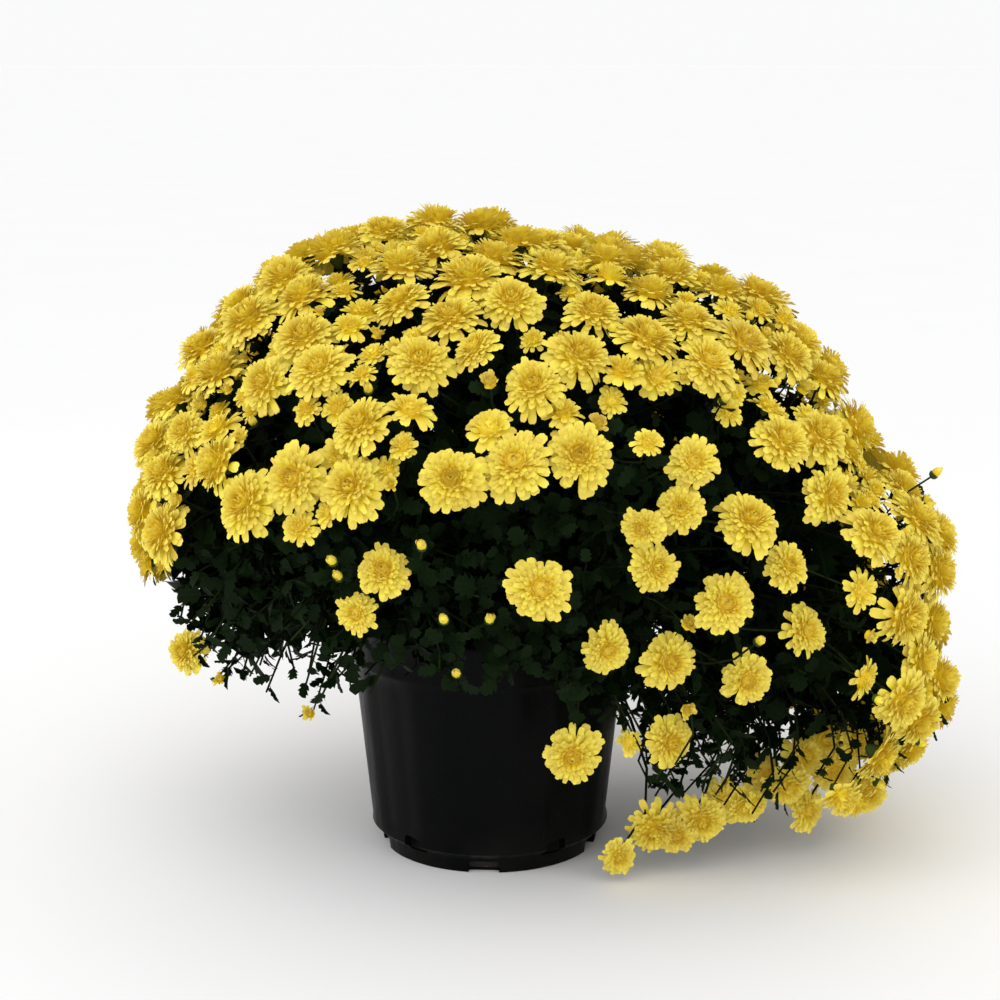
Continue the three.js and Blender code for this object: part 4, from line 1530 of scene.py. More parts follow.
@dataclass
class LeafSheets:
    """Lobed leaves, shaped together: a stalk, three pairs of lobes and a rounded tip."""

    rows: Sequence[float] = (0.0, 0.18, 0.30, 0.42, 0.50, 0.64, 0.74, 0.88, 1.0)
    widths: Sequence[float] = (0.03, 0.05, 0.28, 0.40, 0.23, 0.42, 0.27, 0.30, 0.06)
    shares: Sequence[float] = (0.0, 0.18, 0.27, 0.47, 0.48, 0.71, 0.73, 0.91, 0.99)
    width: float = 0.82
    fold: float = 0.22
    droops: tuple[float, float] = (0.1, 0.75)
    fold_spread: float = 0.12
    twist_spread: float = 0.35
    breadth_shares: tuple[float, float] = (0.85, 1.15)

    def add(
        self, batch: MeshBatch, starts: Array, ways: Array, faces: Array, lengths: Array,
        breadths: Array, rng: np.random.Generator, slot: int,
    ) -> None:
        """Adds leaves to a batch.

        Args:
            batch: Where the leaves go.
            starts: Foot of each stalk, in millimetres.
            ways: Direction in which each leaf runs.
            faces: Direction that its upper side turns to.
            lengths: Length of each leaf with its stalk.
            breadths: Breadth of each leaf, as a share of the usual one.
            rng: Source of the small differences between leaves.
            slot: Material slot of the leaves.
        """
        count = len(starts)
        if count == 0:
            return
        x = unit(ways)
        y = unit(np.cross(faces, x))
        z = np.cross(x, y)
        side = np.array([-1.0, 0.0, 1.0])
        rows, widths, shares = np.array(self.rows), np.array(self.widths), np.array(self.shares)
        forward = np.where(side[None] == 0, rows[:, None], shares[:, None])
        droop = rng.uniform(*self.droops, count)[:, None, None]
        fold = (self.fold + rng.normal(0, self.fold_spread, count))[:, None, None]
        twist = rng.normal(0, self.twist_spread, count)[:, None, None] * rows[None, :, None]
        wide = self.width * (breadths * rng.uniform(*self.breadth_shares, count))[:, None, None]
        over = wide * widths[None, :, None] * side[None, None]
        bend = droop * forward[None]
        along = np.sin(bend) / droop
        down = -(1 - np.cos(bend)) / droop
        raised = np.abs(over) * fold + over * np.sin(twist)
        local = np.stack([along, over * np.cos(twist), down + raised], axis=-1)
        local = local * lengths[:, None, None, None]
        frames = np.stack([x, y, z], axis=-1)
        points = np.einsum("pij,prcj->prci", frames, local) + starts[:, None, None]
        tones = np.empty(points.shape[:3] + (4,))
        tones[..., 0] = forward[None]
        tones[..., 1] = 0.5 + widths[None, :, None] * side[None, None]
        tones[..., 2] = 0.0
        tones[..., 3] = rng.random(count)[:, None, None]
        batch.add_sheets(points, tones, np.zeros(count), slot)


class Habit(Enum):
    """How leafy the shoots of a part of the crown are."""

    LEAFY = "leafy"
    SPARE = "spare"
    INNER = "inner"
    AIRY = "airy"
    BARE = "bare"


@dataclass(frozen=True)
class Growth:
    """Leaves of a shoot: how many, where they start, and their size and breadth as shares."""

    leaves: int
    first: float
    size: float
    breadth: float


GROWTHS = {
    Habit.LEAFY: Growth(10, 0.18, 0.82, 1.0),
    Habit.SPARE: Growth(5, 0.50, 0.95, 1.05),
    Habit.INNER: Growth(7, 0.40, 1.15, 1.25),
    Habit.AIRY: Growth(12, 0.20, 0.86, 0.85),
    Habit.BARE: Growth(12, 0.26, 0.70, 0.55),
}
OPEN_HABITS = (Habit.AIRY, Habit.BARE)


@dataclass
class Shoot:
    """A twig from a main stem to a tip, which leaves stand along."""

    tip: Array
    axis: Array
    radius: float
    habit: Habit = Habit.LEAFY


@dataclass
class LeafyStem:
    """One main stem with its limb, shoots, leaves and buds."""

    number: int
    foot: Array
    toward: Array
    is_low: bool
    distance: float
    around: Sequence[Bloom]
    shoots: list[Shoot] = field(default_factory=list)
    buds: list[Bloom] = field(default_factory=list)
    bloom_rise: float = 0.5
    bloom_room: float = 0.8
    foot_radius: float = 3.6
    tip_radius: float = 2.6
    leaf_lengths: tuple[float, float] = (34.0, 17.0)
    keep_out: float = 119.0
    rim: float = 196.0
    lowest: float = 7.0
    curtain_places: Sequence[float] = (-130, -112, -92, -56, -46, 14, 24, 50, 66, 100, 114, 128)
    curtain_heights: Sequence[float] = (100, 158, 168, 184, 172, 172, 186, 156, 132, 122, 104, 40)
    sweep_below: float = 120.0
    sweep: tuple[float, float, float] = (0.30, 0.02, 0.26)
    low_rise: float = 125
    high_rise: float = 130
    low_lead: tuple[float, float] = (80, 18)
    high_lead: float = 90
    last_leaf: float = 0.965
    leaf_shift: float = 0.02
    leaf_turn: float = 0.25
    leaf_leans: tuple[float, float] = (30, 70)
    leaf_tilt: float = 0.3
    leaf_sizes: tuple[float, float] = (0.7, 1.2)
    margin: float = 4

    def curtain(self, points: Array) -> Array:
        """Height that the foliage in front of the pot hangs down to, at each point."""
        edge = np.interp(points[..., 0], self.curtain_places, self.curtain_heights, left=0.0, right=0.0)
        return np.where(points[..., 1] > 0, 0.0, edge)

    def _misses_blooms(self, points: Array) -> Array:
        """Whether each point lies outside the petals of every bloom."""
        rises = [bloom.centre + self.bloom_rise * bloom.radius * bloom.axis for bloom in self.around]
        rooms = self.bloom_room * np.array([bloom.radius for bloom in self.around])
        spans = np.linalg.norm(points[:, None] - np.array(rises)[None], axis=2)
        return (spans > rooms).all(axis=1)

    def limb(self) -> Array:
        """Control points of the limb's curve, from its foot in the soil."""
        rise = self.foot + UP * (self.low_rise if self.is_low else self.high_rise)
        fork = HEART + self.toward * self.distance
        azimuth = math.atan2(self.toward[1], self.toward[0])
        if self.is_low:
            back, up = self.low_lead
            lead = np.array([-back * math.cos(azimuth), -back * math.sin(azimuth), up])
        else:
            lead = -self.high_lead * self.toward
        return np.array([self.foot, rise, fork + lead, fork])

    def _shoot_curves(self, rng: np.random.Generator) -> Array:
        """Control points of every shoot's curve, from the limb to the shoot's tip."""
        limb = self.limb()[None]
        curves = []
        for shoot in self.shoots:
            offset = math.acos(max(-1.0, min(1.0, float(unit(shoot.tip - HEART) @ self.toward))))
            nearness = float(np.linalg.norm(shoot.tip - HEART)) / self.distance
            share = min(0.98, 0.4 + 0.58 * nearness, 1.0 - 0.55 * offset - rng.uniform(0, 0.08))
            share = max(0.45, share)
            if shoot.habit in OPEN_HABITS:
                share = float(rng.uniform(0.42, 0.74))
            here, ahead = bezier(limb, np.array([share, min(share + 0.02, 1.0)]))[0]
            way = unit(ahead - here) if share < 0.98 else self.toward
            span = float(np.linalg.norm(shoot.tip - here))
            wander = rng.normal(0, 0.05, 3) * span
            if shoot.habit in OPEN_HABITS:
                run = shoot.tip - here
                bow = 1.5 * wander + UP * rng.uniform(0.0, 0.10) * span
                arrive = shoot.tip - 0.3 * run + bow
                if shoot.tip[0] > 0 and shoot.tip[2] < self.sweep_below:
                    arrive = shoot.tip + np.array(self.sweep) * span
                curves.append([here, here + 0.35 * run + bow, arrive, shoot.tip])
                continue
            leave = here + way * 0.33 * span + wander
            arrive = shoot.tip - shoot.axis * 0.38 * span - UP * 0.06 * span + wander
            curves.append([here, leave, arrive, shoot.tip])
        return np.array(curves)

    def build(self, palette: Palette, low: Array, high: Array) -> Object:
        """Makes the stem's piece.

        Args:
            palette: Materials of the plant.
            low: Lowest corner of the plant's box, in millimetres.
            high: Highest corner of that box.

        Returns:
            The new object.
        """
        rng = np.random.default_rng(2000 + self.number)
        batch = MeshBatch()
        shares = np.linspace(0, 1, 15)
        limb = bezier(self.limb()[None], shares)
        knots = 1 + 0.12 * np.sin(np.linspace(0, 9, 15) + self.number)
        radii = (self.foot_radius + (self.tip_radius - self.foot_radius) * shares) * knots
        batch.add_tubes(limb, radii[None], 10, np.array([0.85]), 1)
        curves = self._shoot_curves(rng)
        shares = np.linspace(0, 1, 7)
        paths = bezier(curves, shares)
        tips = np.array([shoot.radius for shoot in self.shoots])
        thick = tips[:, None] * (1.75 - 0.75 * shares[None])
        batch.add_tubes(paths, thick, 5, rng.uniform(0.0, 0.35, len(tips)), 1)
        self._add_leaves(batch, curves, rng, low, high)
        PetalSheets().add(batch, self.buds, rng, 2)
        BUD_HEART.add(batch, self.buds, 2)
        BUD_CUP.add(batch, self.buds, 3)
        materials = [palette.leaf, palette.stem, palette.petal, palette.sepal]
        piece = batch.make(f"foliage_{self.number:02d}", materials)
        place_piece(piece, "foliage", f"stem_{self.number:02d}")
        return piece

    def _add_leaves(
        self, batch: MeshBatch, curves: Array, rng: np.random.Generator, low: Array, high: Array,
    ) -> None:
        """Adds leaves along the shoots, turned a golden angle from one to the next.

        Args:
            batch: Where the leaves go.
            curves: Control points of the shoots' curves.
            rng: Source of the small differences between leaves.
            low: Lowest corner of the plant's box, in millimetres.
            high: Highest corner of that box.
        """
        starts, ways, faces, lengths, breadths = [], [], [], [], []
        for shoot, curve in zip(self.shoots, curves):
            growth = GROWTHS[shoot.habit]
            count = growth.leaves
            shares = np.linspace(growth.first, self.last_leaf, count)
            shares = shares + rng.uniform(-self.leaf_shift, self.leaf_shift, count)
            places = bezier(curve[None], shares)[0]
            ahead = bezier(curve[None], shares + 0.01)[0]
            tangents = unit(ahead - places)
            frames = frames_along(tangents)
            turn = GOLDEN_ANGLE * np.arange(count) + rng.uniform(0, TAU)
            turn += rng.normal(0, self.leaf_turn, count)
            spread = frames[:, :, 0] * np.cos(turn)[:, None] + frames[:, :, 1] * np.sin(turn)[:, None]
            lean = np.radians(rng.uniform(*self.leaf_leans, count))[:, None]
            way = tangents * np.cos(lean) + spread * np.sin(lean)
            face = tangents * np.sin(lean) - spread * np.cos(lean)
            face = face + rng.normal(0, self.leaf_tilt, way.shape)
            big, small = self.leaf_lengths
            size = growth.size * (big + (small - big) * shares**2)
            starts.append(places)
            ways.append(way)
            faces.append(face)
            lengths.append(size * rng.uniform(*self.leaf_sizes, count))
            breadths.append(np.full(count, growth.breadth))
        start, way, face = np.concatenate(starts), np.concatenate(ways), np.concatenate(faces)
        length, breadth = np.concatenate(lengths), np.concatenate(breadths)
        end = start + unit(way) * length[:, None]
        middle = (start + end) / 2
        free = np.ones(len(start), dtype=bool)
        for point in (start, middle, end):
            free &= point[:, 2] > np.maximum(self.lowest + self.margin, self.curtain(point))
            free &= (np.hypot(point[:, 0], point[:, 1]) > self.keep_out) | (point[:, 2] > self.rim)
            free &= ((point > low + self.margin) & (point < high - self.margin)).all(axis=1)
        for point in (middle, end):
            free &= self._misses_blooms(point)
        batch_of = (start[free], way[free], face[free], length[free], breadth[free])
        LeafSheets().add(batch, *batch_of, rng, 0)


@dataclass
class Foliage:
    """The main stems and what each one carries."""

    crown: Crown
    undergrowth: Undergrowth
    soil_top: float = 162.4
    pot_clearance: float = 128.0
    pot_top: float = 200.0
    main_stems: Sequence[tuple[float, float, float, float]] = (
        (-95, 14, -95, 76),
        (0, 34, 0, 60),
        (75, 30, 75, 55),
        (148, 36, 148, 50),
        (215, 36, 215, 50),
        (283, 40, 283, 46),
        (-28, 50, -22, 24),
        (22, 66, 22, 6),
        (62, 64, 62, 10),
        (105, 64, 105, 10),
        (150, 64, 150, 12),
        (192, 64, 190, 12),
        (238, 62, 238, 22),
        (-58, 64, -55, 0),
        (-8, 68, -8, -8),
    )
    skirt_darts: int = 5200
    skirt_spacings: dict[Habit, float] = field(
        default_factory=lambda: {Habit.LEAFY: 21.0, Habit.AIRY: 21.0, Habit.BARE: 27.0}
    )
    skirt_margin: float = 3.0
    inner_share: float = 0.7
    heart_darts: int = 3600
    heart_spacing: float = 37.0
    heart_elevations: tuple[float, float] = (-20.0, 82.0)
    heart_shares: tuple[float, float] = (0.25, 0.96)
    bare_azimuths: tuple[float, float] = (-66.0, -2.0)
    bare_elevations: tuple[float, float] = (-62.0, 24.0)
    thick_below: float = -20.0
    airy_azimuths: tuple[float, float] = (-122.0, 120.0)
    airy_below: float = 16.0
    seed: int = 31
    stems: list[LeafyStem] = field(init=False)

    def __post_init__(self) -> None:
        """Places the stems and shares out the shoots among them."""
        self.stems = []
        around = [*self.crown.blooms, *self.undergrowth.blooms]
        for i, (foot_azimuth, foot_radius, azimuth, elevation) in enumerate(self.main_stems):
            foot = foot_radius * direction(foot_azimuth, 0) + UP * self.soil_top
            toward = direction(azimuth, elevation)
            distance = self.depth_reach(toward) - 12
            self.stems.append(LeafyStem(i + 1, foot, toward, elevation < 30, distance, around))
        rng = np.random.default_rng(self.seed)
        for bloom in self.crown.blooms:
            self._carry_bloom(bloom, Habit.LEAFY)
        for bloom in self.undergrowth.blooms:
            self._carry_bloom(bloom, Habit.SPARE)
        self._carry_buds()
        self._grow_skirt(rng)
        self._fill_heart(rng)

    def depth_reach(self, toward: Array) -> float:
        """How far the thick of the foliage reaches from the heart in a direction."""
        azimuth, elevation = angles_of(toward)
        distance = self.crown.reach(toward) - (22 if self.habit(toward) is Habit.AIRY else 38)
        if self.crown.is_hollow(toward):
            distance = self.crown.hollow_distance
        below = between(self.crown.foliage_azimuths, self.crown.foliage_lowest, azimuth) - elevation
        distance = lerp(distance, 125, max(0.0, min(1.0, below / 11)))
        if toward[2] < 0:
            distance = min(distance, (HEART[2] - 16) / -toward[2])
        return distance

    def habit(self, toward: Array) -> Habit:
        """How leafy a shoot in a direction from the heart is."""
        azimuth, elevation = angles_of(toward)
        (west, east), (low, high) = self.bare_azimuths, self.bare_elevations
        if west < azimuth < east and low < elevation < high:
            return Habit.BARE if elevation > self.thick_below else Habit.AIRY
        if not self.airy_azimuths[0] <= azimuth <= self.airy_azimuths[1] and elevation < self.airy_below:
            return Habit.AIRY
        return Habit.LEAFY

    def stem_at(self, point: Array) -> LeafyStem:
        """The stem whose share of the crown a point lies in."""
        toward = unit(point - HEART)
        return max(self.stems, key=lambda stem: float(stem.toward @ toward))

    def _carry_bloom(self, bloom: Bloom, usual: Habit) -> None:
        """Gives a bloom its shoot, of the usual habit where the crown is close."""
        tip = bloom.centre - bloom.axis * 0.3 * bloom.radius
        radius = 0.9 if bloom.stage is BloomStage.OPEN else 0.7
        habit = self.habit(unit(bloom.centre - HEART))
        habit = usual if habit is Habit.LEAFY else habit
        self.stem_at(bloom.centre).shoots.append(Shoot(tip, bloom.axis, radius, habit))

    def _carry_buds(self) -> None:
        """Gives each round bud its shoot."""
        for place in self.crown.buds:
            centre = np.array(place, dtype=float)
            axis = unit(unit(centre - HEART) + 0.7 * UP)
            stem = self.stem_at(centre)
            stem.buds.append(Bloom(centre, axis, 4.8, 0, BloomStage.BUD))
            stem.shoots.append(Shoot(centre - axis * 4, axis, 0.8, self.habit(axis)))

    def _grow_skirt(self, rng: np.random.Generator) -> None:
        """Adds leafy shoots without blooms below the canopy."""
        tips: list[Array] = []
        for _ in range(self.skirt_darts):
            azimuth, sine, share = rng.uniform(-180, 180), rng.uniform(-0.72, 0.6), rng.random()
            toward = direction(azimuth, math.degrees(math.asin(sine)))
            elevation = angles_of(toward)[1]
            lowest = between(self.crown.foliage_azimuths, self.crown.foliage_lowest, azimuth)
            if not self.crown.is_under(toward) or elevation < lowest - self.skirt_margin:
                continue
            habit = self.habit(toward)
            is_open = habit in OPEN_HABITS and self.bare_azimuths[0] < azimuth < self.bare_azimuths[1]
            is_inner = is_open and rng.random() < self.inner_share
            span = self.depth_reach(toward) * lerp(0.86, 1.0, share)
            if is_inner:
                habit, span = Habit.LEAFY, span * lerp(0.5, 0.92, share)
            tip = HEART + toward * span
            spacing = self.skirt_spacings[habit]
            if tip[2] < 18 or any(np.linalg.norm(other - tip) < spacing for other in tips):
                continue
            if math.hypot(tip[0], tip[1]) < self.pot_clearance and tip[2] < self.pot_top:
                continue
            stem = self.stem_at(tip)
            if tip[2] < stem.curtain(tip) + 6:
                continue
            tips.append(tip)
            stem.shoots.append(Shoot(tip, toward, 0.8, habit))
        LOG.info("%d leafy shoots below the canopy", len(tips))

    def _fill_heart(self, rng: np.random.Generator) -> None:
        """Adds leafy shoots that end inside the crown and close the view across it."""
        tips: list[Array] = []
        for _ in range(self.heart_darts):
            toward = direction(rng.uniform(-180, 180), rng.uniform(*self.heart_elevations))
            tip = HEART + toward * rng.uniform(*self.heart_shares) * self.depth_reach(toward)
            if math.hypot(tip[0], tip[1]) < self.pot_clearance and tip[2] < self.pot_top:
                continue
            if any(np.linalg.norm(other - tip) < self.heart_spacing for other in tips):
                continue
            tips.append(tip)
            self.stem_at(tip).shoots.append(Shoot(tip, toward, 0.8, Habit.INNER))
        LOG.info("%d leafy shoots inside the crown", len(tips))


# ---- pot and soil


@dataclass
class NurseryPot:
    """A squat black pot with a ribbed wall, a deep collar, a rolled rim and drains."""

    height: float = 190
    foot_radius: float = 86
    foot_height: float = 13
    shoulder_radius: float = 95
    collar_radius: float = 111
    collar_height: float = 34
    rim_radius: float = 114.5
    rim_width: float = 4
    wall: float = 4
    floor: float = 3
    flutes: int = 8
    flute_depth: float = 2.2
    rib_turn: float = 14
    drains: int = 5
    turn: float = -93
    corners: int = 256
    notch_size: tuple[float, float, float] = (14, 24, 20)
    slot_size: tuple[float, float, float] = (10, 19, 13)
    slot_offset: float = 4
    drain_rounding: float = 2.2
    crease: float = 38

    def _wall_radius(self, z: float) -> float:
        """Outer radius between the foot and the collar."""
        low, high = self.foot_height + 5, self.height - self.collar_height
        share = max(0.0, min(1.0, (z - low) / (high - low)))
        return lerp(self.shoulder_radius, self.collar_radius - 1.5, share)

    def _profile(self) -> list[tuple[float, float, float]]:
        """Height, radius and depth of the flutes, up the outside and down the inside."""
        collar = self.height - self.collar_height
        foot, rim = self.foot_radius, self.rim_radius
        outside = [
            (0.0, foot - 1.4, 0.0),
            (0.4, foot - 0.4, 0.0),
            (1.4, foot, 0.0),
            (self.foot_height - 1.5, foot + 1.3, 0.0),
            (self.foot_height, foot + 2.2, 0.0),
            (self.foot_height + 3.4, self.shoulder_radius - 1.6, 0.0),
            (self.foot_height + 5, self.shoulder_radius, 0.0),
            (self.foot_height + 7, self._wall_radius(20.0), 0.2),
        ]
        for z in np.linspace(self.foot_height + 11, collar - 12, 12):
            outside.append((float(z), self._wall_radius(float(z)), 1.0))
        outside += [
            (collar - 8, self._wall_radius(collar - 8), 0.9),
            (collar - 3, self.collar_radius - 1.6, 0.25),
            (collar - 0.6, self.collar_radius - 0.5, 0.0),
            (collar + 0.8, self.collar_radius, 0.0),
            (collar + 2.5, self.collar_radius - 0.1, 0.0),
            (self.height - 7, rim - 1.6, 0.0),
            (self.height - 5.4, rim - 0.3, 0.0),
            (self.height - 3.5, rim, 0.0),
            (self.height - 1.4, rim - 0.1, 0.0),
            (self.height - 0.4, rim - 0.8, 0.0),
            (self.height, rim - 1.8, 0.0),
        ]
        inner_high = rim - self.rim_width
        inner_low = foot - self.wall
        inside = [
            (self.height - 0.1, inner_high + 0.9, 0.0),
            (self.height - 0.9, inner_high + 0.1, 0.0),
            (self.height - 3.0, inner_high - 0.2, 0.0),
            (self.floor + 60, lerp(inner_low, inner_high, 60 / (self.height - self.floor)), 0.0),
            (self.floor + 4, inner_low + 0.3, 0.0),
            (self.floor + 1, inner_low - 0.8, 0.0),
            (self.floor, inner_low - 3, 0.0),
        ]
        return outside + inside

    def _flute(self, angles: Array) -> Array:
        """Depth of the wall below its ribs, from 0 to 1, round the pot."""
        turned = (angles - math.radians(self.rib_turn)) * self.flutes / TAU % 1.0
        into = smooth((turned - 0.25) / 0.25)
        out_of = smooth((turned - 0.75) / 0.25)
        return into - out_of

    def _cutters(self) -> list[Object]:
        """Boxes that cut the notches under the foot and the holes in the shoulder."""
        cutters = []
        for i in range(2 * self.drains):
            angle = math.radians(self.turn) + math.pi * i / self.drains
            is_notch = i % 2 == 0
            size = self.notch_size if is_notch else self.slot_size
            radius = self.foot_radius + (0 if is_notch else self.slot_offset)
            corners = 0.5 * CUBE_CORNERS * np.array(size)
            cos, sin = math.cos(angle), math.sin(angle)
            turn = np.array([[cos, -sin, 0], [sin, cos, 0], [0, 0, 1]])
            middle = np.array([radius * cos, radius * sin, 0 if is_notch else self.foot_height + 5])
            mesh = bpy.data.meshes.new("drain_cut")
            mesh.from_pydata(((corners @ turn.T + middle) * MM).tolist(), [], CUBE_FACES)
            cutter = new_object("drain_cut", mesh)
            rounding = cutter.modifiers.new("rounding", "BEVEL")
            rounding.width, rounding.segments = self.drain_rounding * MM, 4
            cutters.append(cutter)
        return cutters

    def build(self, palette: Palette) -> Object:
        """Makes the pot's piece."""
        angles = np.linspace(0, TAU, self.corners, endpoint=False)
        flute = self._flute(angles) * self.flute_depth
        rings = []
        for z, radius, depth in self._profile():
            spans = radius - depth * flute
            ring = [spans * np.cos(angles), spans * np.sin(angles), np.full(self.corners, z)]
            rings.append(np.stack(ring, axis=-1))
        mesh = lathe_mesh("pot_body", np.array(rings), np.zeros(3), np.array([0, 0, self.floor]))
        pot = new_object("pot_body", mesh)
        cutters = self._cutters()
        for cutter in cutters:
            cut = pot.modifiers.new("drain", "BOOLEAN")
            cut.operation, cut.solver, cut.object = "DIFFERENCE", "EXACT", cutter
        ready = pot.evaluated_get(bpy.context.evaluated_depsgraph_get())
        finished = bpy.data.meshes.new_from_object(ready)
        pot.modifiers.clear()
        pot.data = finished
        for cutter in cutters:
            bpy.data.objects.remove(cutter)
        finished.materials.clear()
        finished.materials.append(palette.pot)
        finished.shade_smooth()
        finished.set_sharp_from_angle(angle=math.radians(self.crease))
        place_piece(pot, "pot", "pot")
        return pot


@dataclass
class PottingSoil:
    """Crumbly soil that fills the pot to below its collar's rim."""

    top: float = 172
    bottom: float = 3.3
    low_radius: float = 81.4
    high_radius: float = 107.0
    mound: float = 6
    corners: int = 120
    crumbs: int = 520
    crumb_sizes: tuple[float, float] = (1.0, 3.6)
    crumb_squash: tuple[float, float] = (0.5, 1.1)
    crumb_lumps: float = 0.16
    rings: int = 34
    seed: int = 41

    def _height(self, x: Array, y: Array) -> Array:
        """Height of the soil, mounded in the middle and lumpy."""
        radius = np.hypot(x, y)
        lumps = np.sin(x * 0.21 + 1.3) * np.sin(y * 0.19 + 0.4) + 0.6 * np.sin(x * 0.47 + y * 0.39)
        fine = 0.4 * np.sin(x * 1.13 + y * 0.31) * np.sin(y * 1.31 - x * 0.27)
        return self.top + self.mound * (1 - smooth(radius / 80)) + 1.1 * lumps + fine - 1.5

    def build(self, palette: Palette) -> Object:
        """Makes the soil's piece with its crumbs."""
        rng = np.random.default_rng(self.seed)
        angles = np.linspace(0, TAU, self.corners + 1)
        low, bottom = self.low_radius, self.bottom
        radii = [low * 0.02, low * 0.6, low, 90.0, 98.0, self.high_radius]
        heights = [bottom, bottom, bottom, 60.0, 115.0, None]
        radii += list(np.linspace(self.high_radius - 1.5, 1.0, self.rings))
        heights += [None] * self.rings
        rows = []
        for radius, height in zip(radii, heights):
            x, y = radius * np.cos(angles), radius * np.sin(angles)
            z = self._height(x, y) if height is None else np.full_like(x, height)
            rows.append(np.stack([x, y, z], axis=-1))
        points = np.array(rows)[None]
        batch = MeshBatch()
        batch.add_sheets(points, np.full(points.shape[:3] + (4,), 0.5), np.zeros(1), 0)
        span = np.sqrt(rng.uniform(0, 1, self.crumbs)) * (self.high_radius - 6)
        angle = rng.uniform(0, TAU, self.crumbs)
        x, y = span * np.cos(angle), span * np.sin(angle)
        places = np.zeros((self.crumbs, 3, 4))
        frames = frames_along(unit(rng.normal(0, 1, (self.crumbs, 3))))
        size = rng.uniform(*self.crumb_sizes, self.crumbs)
        squash = rng.uniform(*self.crumb_squash, (self.crumbs, 1, 3))
        places[:, :, :3] = frames * squash * size[:, None, None]
        places[:, :, 3] = np.stack([x, y, self._height(x, y) + 0.3 * size], axis=-1)
        crumb = CUBE_CORNERS + rng.normal(0, self.crumb_lumps, CUBE_CORNERS.shape)
        batch.add_solids(crumb, np.array(CUBE_FACES), places, 0)
        piece = batch.make("soil_bed", [palette.soil])
        place_piece(piece, "soil", "soil")
        return piece


# ---- studio


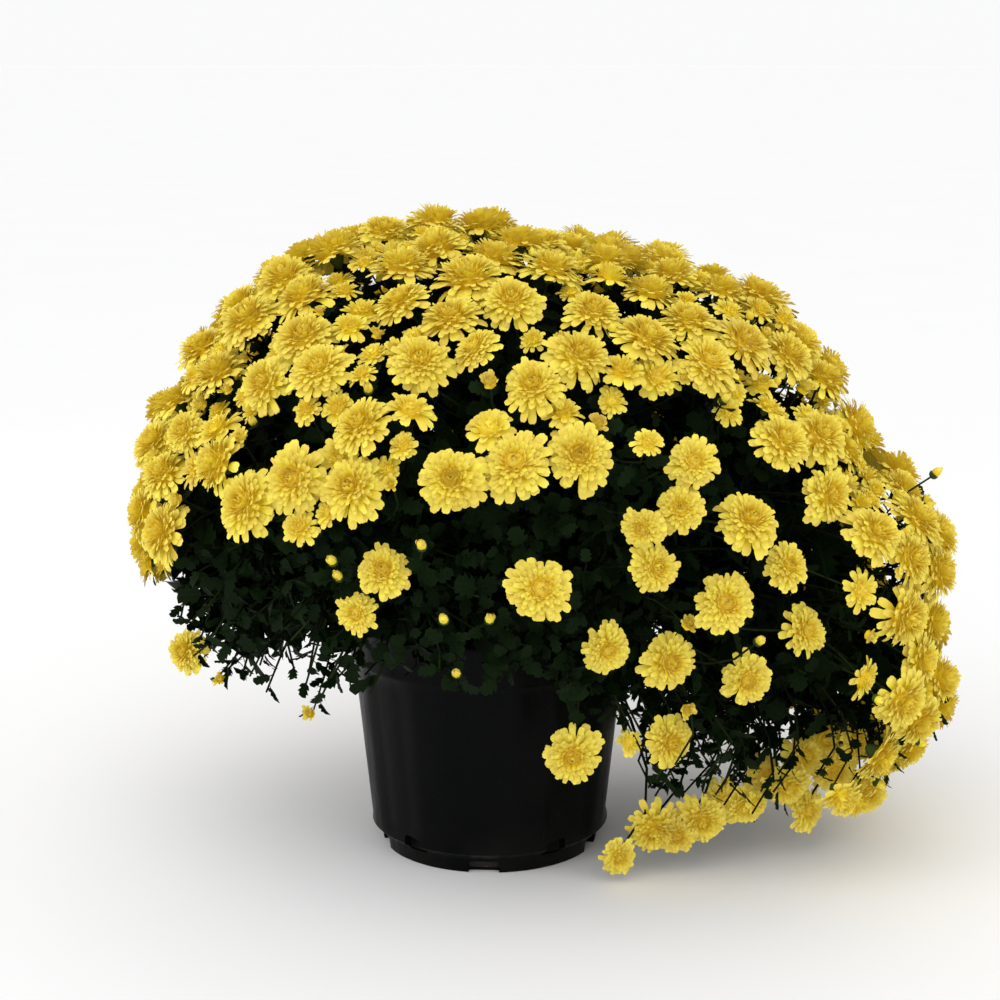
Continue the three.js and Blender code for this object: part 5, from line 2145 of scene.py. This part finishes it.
@dataclass
class Studio:
    """Pale floor, soft lights and the camera."""

    camera_place: tuple[float, float, float] = (0.0082, -1.690, 0.640)
    camera_pitch: float = 12.1
    lens: float = 79.02
    sensor: float = 36.0
    floor_radius: float = 40.0
    sky: Colour = (0.77, 0.77, 0.775)
    horizon: Colour = (0.96, 0.96, 0.962)
    key: tuple[tuple[float, float, float], float, float] = ((-0.6, -1.25, 1.95), 70.0, 1.15)
    fill: tuple[tuple[float, float, float], float, float] = ((1.9, -1.7, 1.2), 1.8, 10.0)
    side: tuple[tuple[float, float, float], float, float] = ((-2.3, -0.5, 0.7), 0.9, 9.0)
    floor_sides: int = 96

    def build(self, palette: Palette) -> None:
        """Makes the camera, the floor and the lights."""
        self._add_camera()
        self._add_floor(palette)
        self._add_sun("key", *self.key)
        self._add_light("fill", *self.fill)
        self._add_light("side", *self.side)
        self._add_world()
        bpy.context.scene.view_settings.view_transform = "Standard"

    def _add_world(self) -> None:
        """Makes the even sky, as pale as the floor just over the horizon."""
        world = bpy.data.worlds.new("studio")
        world.use_nodes = True
        shades = Shades(world.node_tree)
        parts = shades.node("ShaderNodeSeparateXYZ")
        shades.feed(parts.inputs[0], shades.node("ShaderNodeTexCoord").outputs["Generated"])
        height = shades.span(parts.outputs["Z"], 0.02, 0.06)
        background = world.node_tree.nodes["Background"]
        shades.feed(background.inputs["Color"], shades.mix(height, self.horizon, self.sky))
        bpy.context.scene.world = world

    def _add_sun(self, name: str, place: tuple[float, float, float], spread: float, power: float) -> None:
        """Makes a soft even light that comes from the way of a place."""
        data = bpy.data.lights.new(name, "SUN")
        data.angle, data.energy = math.radians(spread), power
        self._aim(new_object(name, data), place)

    def _aim(self, light: Object, place: tuple[float, float, float]) -> None:
        """Puts a light at a place and turns it to the middle of the plant."""
        back = unit(np.array(place) - np.array([0.0, 0.0, 0.25]))
        light.location = place
        light.rotation_euler = (math.acos(back[2]), 0.0, math.atan2(back[1], back[0]) + math.pi / 2)

    def _add_camera(self) -> None:
        """Makes the camera and hands it to the scene."""
        data = bpy.data.cameras.new("camera")
        data.lens, data.sensor_width = self.lens, self.sensor
        data.clip_start, data.clip_end = 0.05, 100.0
        camera = new_object("camera", data)
        camera.location = self.camera_place
        camera.rotation_euler = (math.radians(90 - self.camera_pitch), 0.0, 0.0)
        bpy.context.scene.camera = camera

    def _add_floor(self, palette: Palette) -> None:
        """Makes the wide pale floor."""
        n = self.floor_sides
        angles = np.linspace(0, TAU, n, endpoint=False)
        edge = np.stack([np.cos(angles), np.sin(angles), np.zeros(n)], axis=-1)
        points = np.vstack([[0, 0, 0], edge * 3.0, edge * self.floor_radius])
        faces = [(0, 1 + i, 1 + (i + 1) % n) for i in range(n)]
        faces += [(1 + i, 1 + n + i, 1 + n + (i + 1) % n, 1 + (i + 1) % n) for i in range(n)]
        mesh = bpy.data.meshes.new("floor")
        mesh.from_pydata(points.tolist(), [], faces)
        mesh.materials.append(palette.floor)
        floor = new_object("floor", mesh)
        floor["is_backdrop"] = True

    def _add_light(self, name: str, place: tuple[float, float, float], size: float, power: float) -> None:
        """Makes a soft square light that faces the middle of the plant."""
        data = bpy.data.lights.new(name, "AREA")
        data.size, data.energy = size, power
        self._aim(new_object(name, data), place)


# ---- assembly


@dataclass(frozen=True)
class Weathering:
    """The small tilts, turns and signs of age that real blooms have."""

    tilt: float = 0.18
    depths: tuple[float, float] = (-6, 1.5)
    sizes: tuple[float, float] = (0.92, 1.05)
    domes: tuple[float, float] = (0.85, 1.25)
    old: float = 0.05
    old_ages: tuple[float, float] = (0.6, 1.0)
    fresh_ages: tuple[float, float] = (0, 0.2)
    seed: int = 7

    def apply(self, blooms: Sequence[Bloom]) -> None:
        """Changes every bloom a little.

        Args:
            blooms: The blooms.
        """
        rng = np.random.default_rng(self.seed)
        for bloom in blooms:
            bloom.turn = float(rng.uniform(0, TAU))
            bloom.axis = unit(bloom.axis + rng.normal(0, self.tilt, 3))
            bloom.centre = bloom.centre + bloom.axis * float(rng.uniform(*self.depths))
            bloom.radius *= float(rng.uniform(*self.sizes))
            bloom.dome = float(rng.uniform(*self.domes))
            ages = self.old_ages if rng.random() < self.old else self.fresh_ages
            bloom.age = float(rng.uniform(*ages))


def main() -> None:
    """Builds the plant piece by piece and sets up the studio."""
    logging.basicConfig(level=logging.INFO, format="%(name)s: %(message)s")
    start = [[float(v) for v in corner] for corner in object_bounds()]
    low, high = (np.array(corner) / MM for corner in start)
    palette = Palette()
    Studio().build(palette)
    NurseryPot().build(palette)
    PottingSoil().build(palette)
    crown = Crown()
    undergrowth = Undergrowth(crown)
    crown.gather()
    Weathering().apply([*crown.blooms, *undergrowth.blooms])
    for stem in Foliage(crown, undergrowth).stems:
        stem.build(palette, low, high)
    for cluster in range(crown.clusters):
        own = [b for b in [*crown.blooms, *undergrowth.blooms] if b.cluster == cluster]
        BloomCluster(cluster + 1, own).build(palette)


if __name__ == "__main__":
    main()
